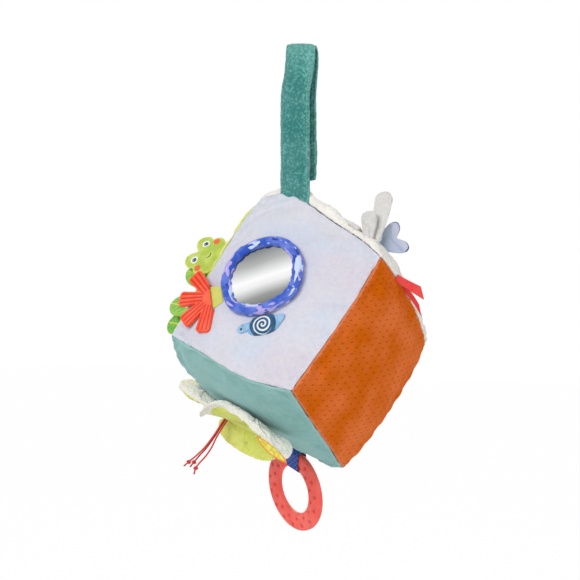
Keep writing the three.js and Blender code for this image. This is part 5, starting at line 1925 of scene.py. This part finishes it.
class RingOperator(bpy.types.Operator):
    """Mould the dimpled teether ring and fold its ribbon"""
    bl_idname = "activity_block.ring"
    bl_label = "Teether ring"

    def execute(self, context):
        s = sizes()
        hinge = hinge_on(RING_SHARES, (0.973, -0.199, -0.117), (0.075, 0.752, -0.655))
        centre = hinge @ Matrix.Translation((0, 0.003 + s.ring_outer, 0))
        width = s.ring_outer - s.ring_hole
        section = round_section(width / 2, s.ring_thickness / 2, 72, 0.72)
        places = []
        for angle in np.linspace(0, math.tau, 400, endpoint=False):
            turn = Matrix.Rotation(angle, 4, "Z") @ Matrix.Translation((s.ring_hole + width / 2, 0, 0))
            places.append(turn @ Matrix.Rotation(-math.pi / 2, 4, "X"))
        bm = sweep(section, places, closed=True)
        pit = bm.verts.layers.float.new("pit")
        for vert in bm.verts:
            x, y, z = vert.co
            far = math.hypot(x, y)
            turn = math.atan2(y, x) / math.tau
            for share, count, shift in DIMPLE_ROWS:
                row = s.ring_hole + width * share
                aside = ((turn * count + shift + 0.5) % 1 - 0.5) / count * math.tau * row
                near = math.hypot(aside, far - row)
                if near < 2 * DIMPLE_RADIUS:
                    hollow = 1 / (1 + (near / DIMPLE_RADIUS) ** 8)
                    vert.co.z -= math.copysign(1, z) * DIMPLE_DEPTH * hollow
                    # painted shade: marks the dimple for the silicone to darken
                    vert[pit] = hollow * 0.75
        coral = silicone("ring_silicone", tuple(colours().coral))
        add_piece("teether_ring_silicone", bm, [coral], "teether_ring", ["teether_ring"], centre)
        self.fold_ribbon(s, hinge)
        return {"FINISHED"}

    def fold_ribbon(self, s, hinge):
        """The loop: two plies up from the seam and round the ring."""
        width = s.ring_outer - s.ring_hole
        half = s.ring_ribbon_width / 2
        sag = s.ring_outer - math.sqrt(s.ring_outer ** 2 - half ** 2)
        play = 0.0007
        radius = s.ring_thickness / 2 + play + 0.0005
        far = 0.003 + width + sag + play - s.ring_thickness / 2 - play
        path = [(0.0004, -0.0006), (0.0012, 0.0006), (radius * 0.75, 0.003), (radius, 0.0058)]
        for angle in np.linspace(0, math.pi, 15):
            path.append((radius * math.cos(angle), far + radius * math.sin(angle)))
        path += [(-x, y) for x, y in reversed(path[:4])]
        line = smooth_path([(0, y, z) for z, y in path], 90)
        bm = bmesh.new()
        bmesh.ops.create_grid(bm, x_segments=12, y_segments=len(line) - 1, size=0.5)
        reach = sum((b - a).length for a, b in zip(line, line[1:]))
        for vert in bm.verts:
            vert.co.x *= s.ring_ribbon_width
            vert.co.y = (vert.co.y + 0.5) * reach
        lay_flat(bm)
        for vert in bm.verts:
            at = line[min(len(line) - 1, round(vert.co.y / reach * (len(line) - 1)))]
            pinch = 1 - 0.06 * math.exp(-(at.y / 0.004) ** 2)
            vert.co = (vert.co.x * pinch, at.y, at.z)
        solid_strip(bm, 0.0009)
        add_piece("ring_ribbon_loop", bm, [dotted_ribbon()], "ring_ribbon", ["ring_ribbon"], hinge, 1)


class StageOperator(bpy.types.Operator):
    """Set the floor, the soft lamps and the camera"""
    bl_idname = "activity_block.stage"
    bl_label = "Stage"

    def execute(self, context):
        scene = context.scene
        self.add_camera(scene)
        self.add_floor()
        self.add_world(scene)
        turn = Matrix.Rotation(math.radians(CAMERA_TURN), 4, "Z")
        middle = Vector((-0.004, 0.013, -0.22))
        lamps = {
            "key": ((-0.75, -1.15, 0.75), 0.9, 12.0),
            "fill": ((1.2, -0.9, 0.1), 1.1, 4.0),
            "rim": ((0.2, 1.2, 0.9), 0.9, 6.0),
        }
        for name, (place, size, power) in lamps.items():
            light = bpy.data.lights.new(name, "AREA")
            light.shape = "DISK"
            light.size = size
            light.energy = power
            lamp = bpy.data.objects.new(name, light)
            scene.collection.objects.link(lamp)
            at = middle + turn.to_3x3() @ Vector(place)
            aim = (middle - at).to_track_quat("-Z", "Y")
            lamp.matrix_world = Matrix.Translation(at) @ aim.to_matrix().to_4x4()
        scene.view_settings.view_transform = "Standard"
        return {"FINISHED"}

    def add_camera(self, scene):
        camera = bpy.data.cameras.new("camera")
        camera.sensor_fit = "HORIZONTAL"
        camera.angle = math.radians(CAMERA_FIELD)
        holder = bpy.data.objects.new("camera", camera)
        scene.collection.objects.link(holder)
        turn = Matrix.Rotation(math.radians(CAMERA_TURN), 4, "Z") @ Matrix.Rotation(math.pi / 2, 4, "X")
        holder.matrix_world = Matrix.Translation(CAMERA_PLACE) @ turn
        scene.camera = holder

    def add_floor(self):
        bm = bmesh.new()
        bmesh.ops.create_grid(bm, x_segments=1, y_segments=1, size=6)
        bmesh.ops.translate(bm, verts=bm.verts, vec=(0, 0, -0.75))
        finish = Finish("pale_floor", tone("#f4f4f2"), 0.9)
        grain = finish.noise(3, 2)
        base = finish.mix(finish.between(grain, 0.4, 0.6), tone("#f2f2f0"), tone("#f7f7f6"))
        finish.set(**{"Base Color": base})
        glow = finish.add("ShaderNodeEmission", (1, 1, 1, 1), 1.0)
        seen = finish.add("ShaderNodeLightPath").outputs["Is Camera Ray"]
        share = finish.math("MULTIPLY", seen, 0.985)
        both = finish.add("ShaderNodeMixShader", share)
        finish.tree.links.new(finish.shader.outputs[0], both.inputs[1])
        finish.tree.links.new(glow.outputs[0], both.inputs[2])
        out = finish.tree.nodes["Material Output"]
        finish.tree.links.new(both.outputs[0], out.inputs["Surface"])
        floor = add_piece("floor", bm, [finish.material], None)

    def add_world(self, scene):
        world = bpy.data.worlds.new("studio")
        scene.world = world
        world.use_nodes = True
        tree = world.node_tree
        sky = tree.nodes["Background"]
        sky.inputs["Color"].default_value = (1, 1, 1, 1)
        path = tree.nodes.new("ShaderNodeLightPath")
        seen = path.outputs["Is Camera Ray"]
        for name in ("Is Glossy Ray", "Is Transmission Ray"):
            either = tree.nodes.new("ShaderNodeMath")
            either.operation = "MAXIMUM"
            tree.links.new(seen, either.inputs[0])
            tree.links.new(path.outputs[name], either.inputs[1])
            seen = either.outputs[0]
        level = tree.nodes.new("ShaderNodeMapRange")
        tree.links.new(seen, level.inputs["Value"])
        level.inputs["To Min"].default_value = 0.54
        level.inputs["To Max"].default_value = 1.0
        tree.links.new(level.outputs[0], sky.inputs["Strength"])


OPERATORS = (
    StageOperator, StringsOperator, PanelsOperator, FillingOperator, StrapOperator, MirrorOperator,
    FanOperator, SnailOperator, LeftTagsOperator, BugOperator, RedRibbonsOperator, ButterflyOperator,
    RingOperator,
)


class BlockPanel(bpy.types.Panel):
    """Lists the block's pieces and its sizes"""
    bl_idname = "VIEW3D_PT_activity_block"
    bl_label = "Activity Block"
    bl_space_type = "VIEW_3D"
    bl_region_type = "UI"
    bl_category = "Activity Block"

    def draw(self, context):
        for operator in OPERATORS:
            self.layout.operator(operator.bl_idname)
        for group in (context.scene.block_sizes, context.scene.block_colours):
            for name in group.__annotations__:
                self.layout.prop(group, name)


CLASSES = (BlockSizes, BlockColours, *OPERATORS, BlockPanel)


def register():
    for cls in CLASSES:
        bpy.utils.register_class(cls)
    bpy.types.Scene.block_sizes = PointerProperty(type=BlockSizes)
    bpy.types.Scene.block_colours = PointerProperty(type=BlockColours)


def unregister():
    del bpy.types.Scene.block_colours
    del bpy.types.Scene.block_sizes
    for cls in reversed(CLASSES):
        bpy.utils.unregister_class(cls)


def main():
    register()
    for operator in OPERATORS:
        group, name = operator.bl_idname.split(".")
        getattr(getattr(bpy.ops, group), name)()


if __name__ == "__main__":
    main()
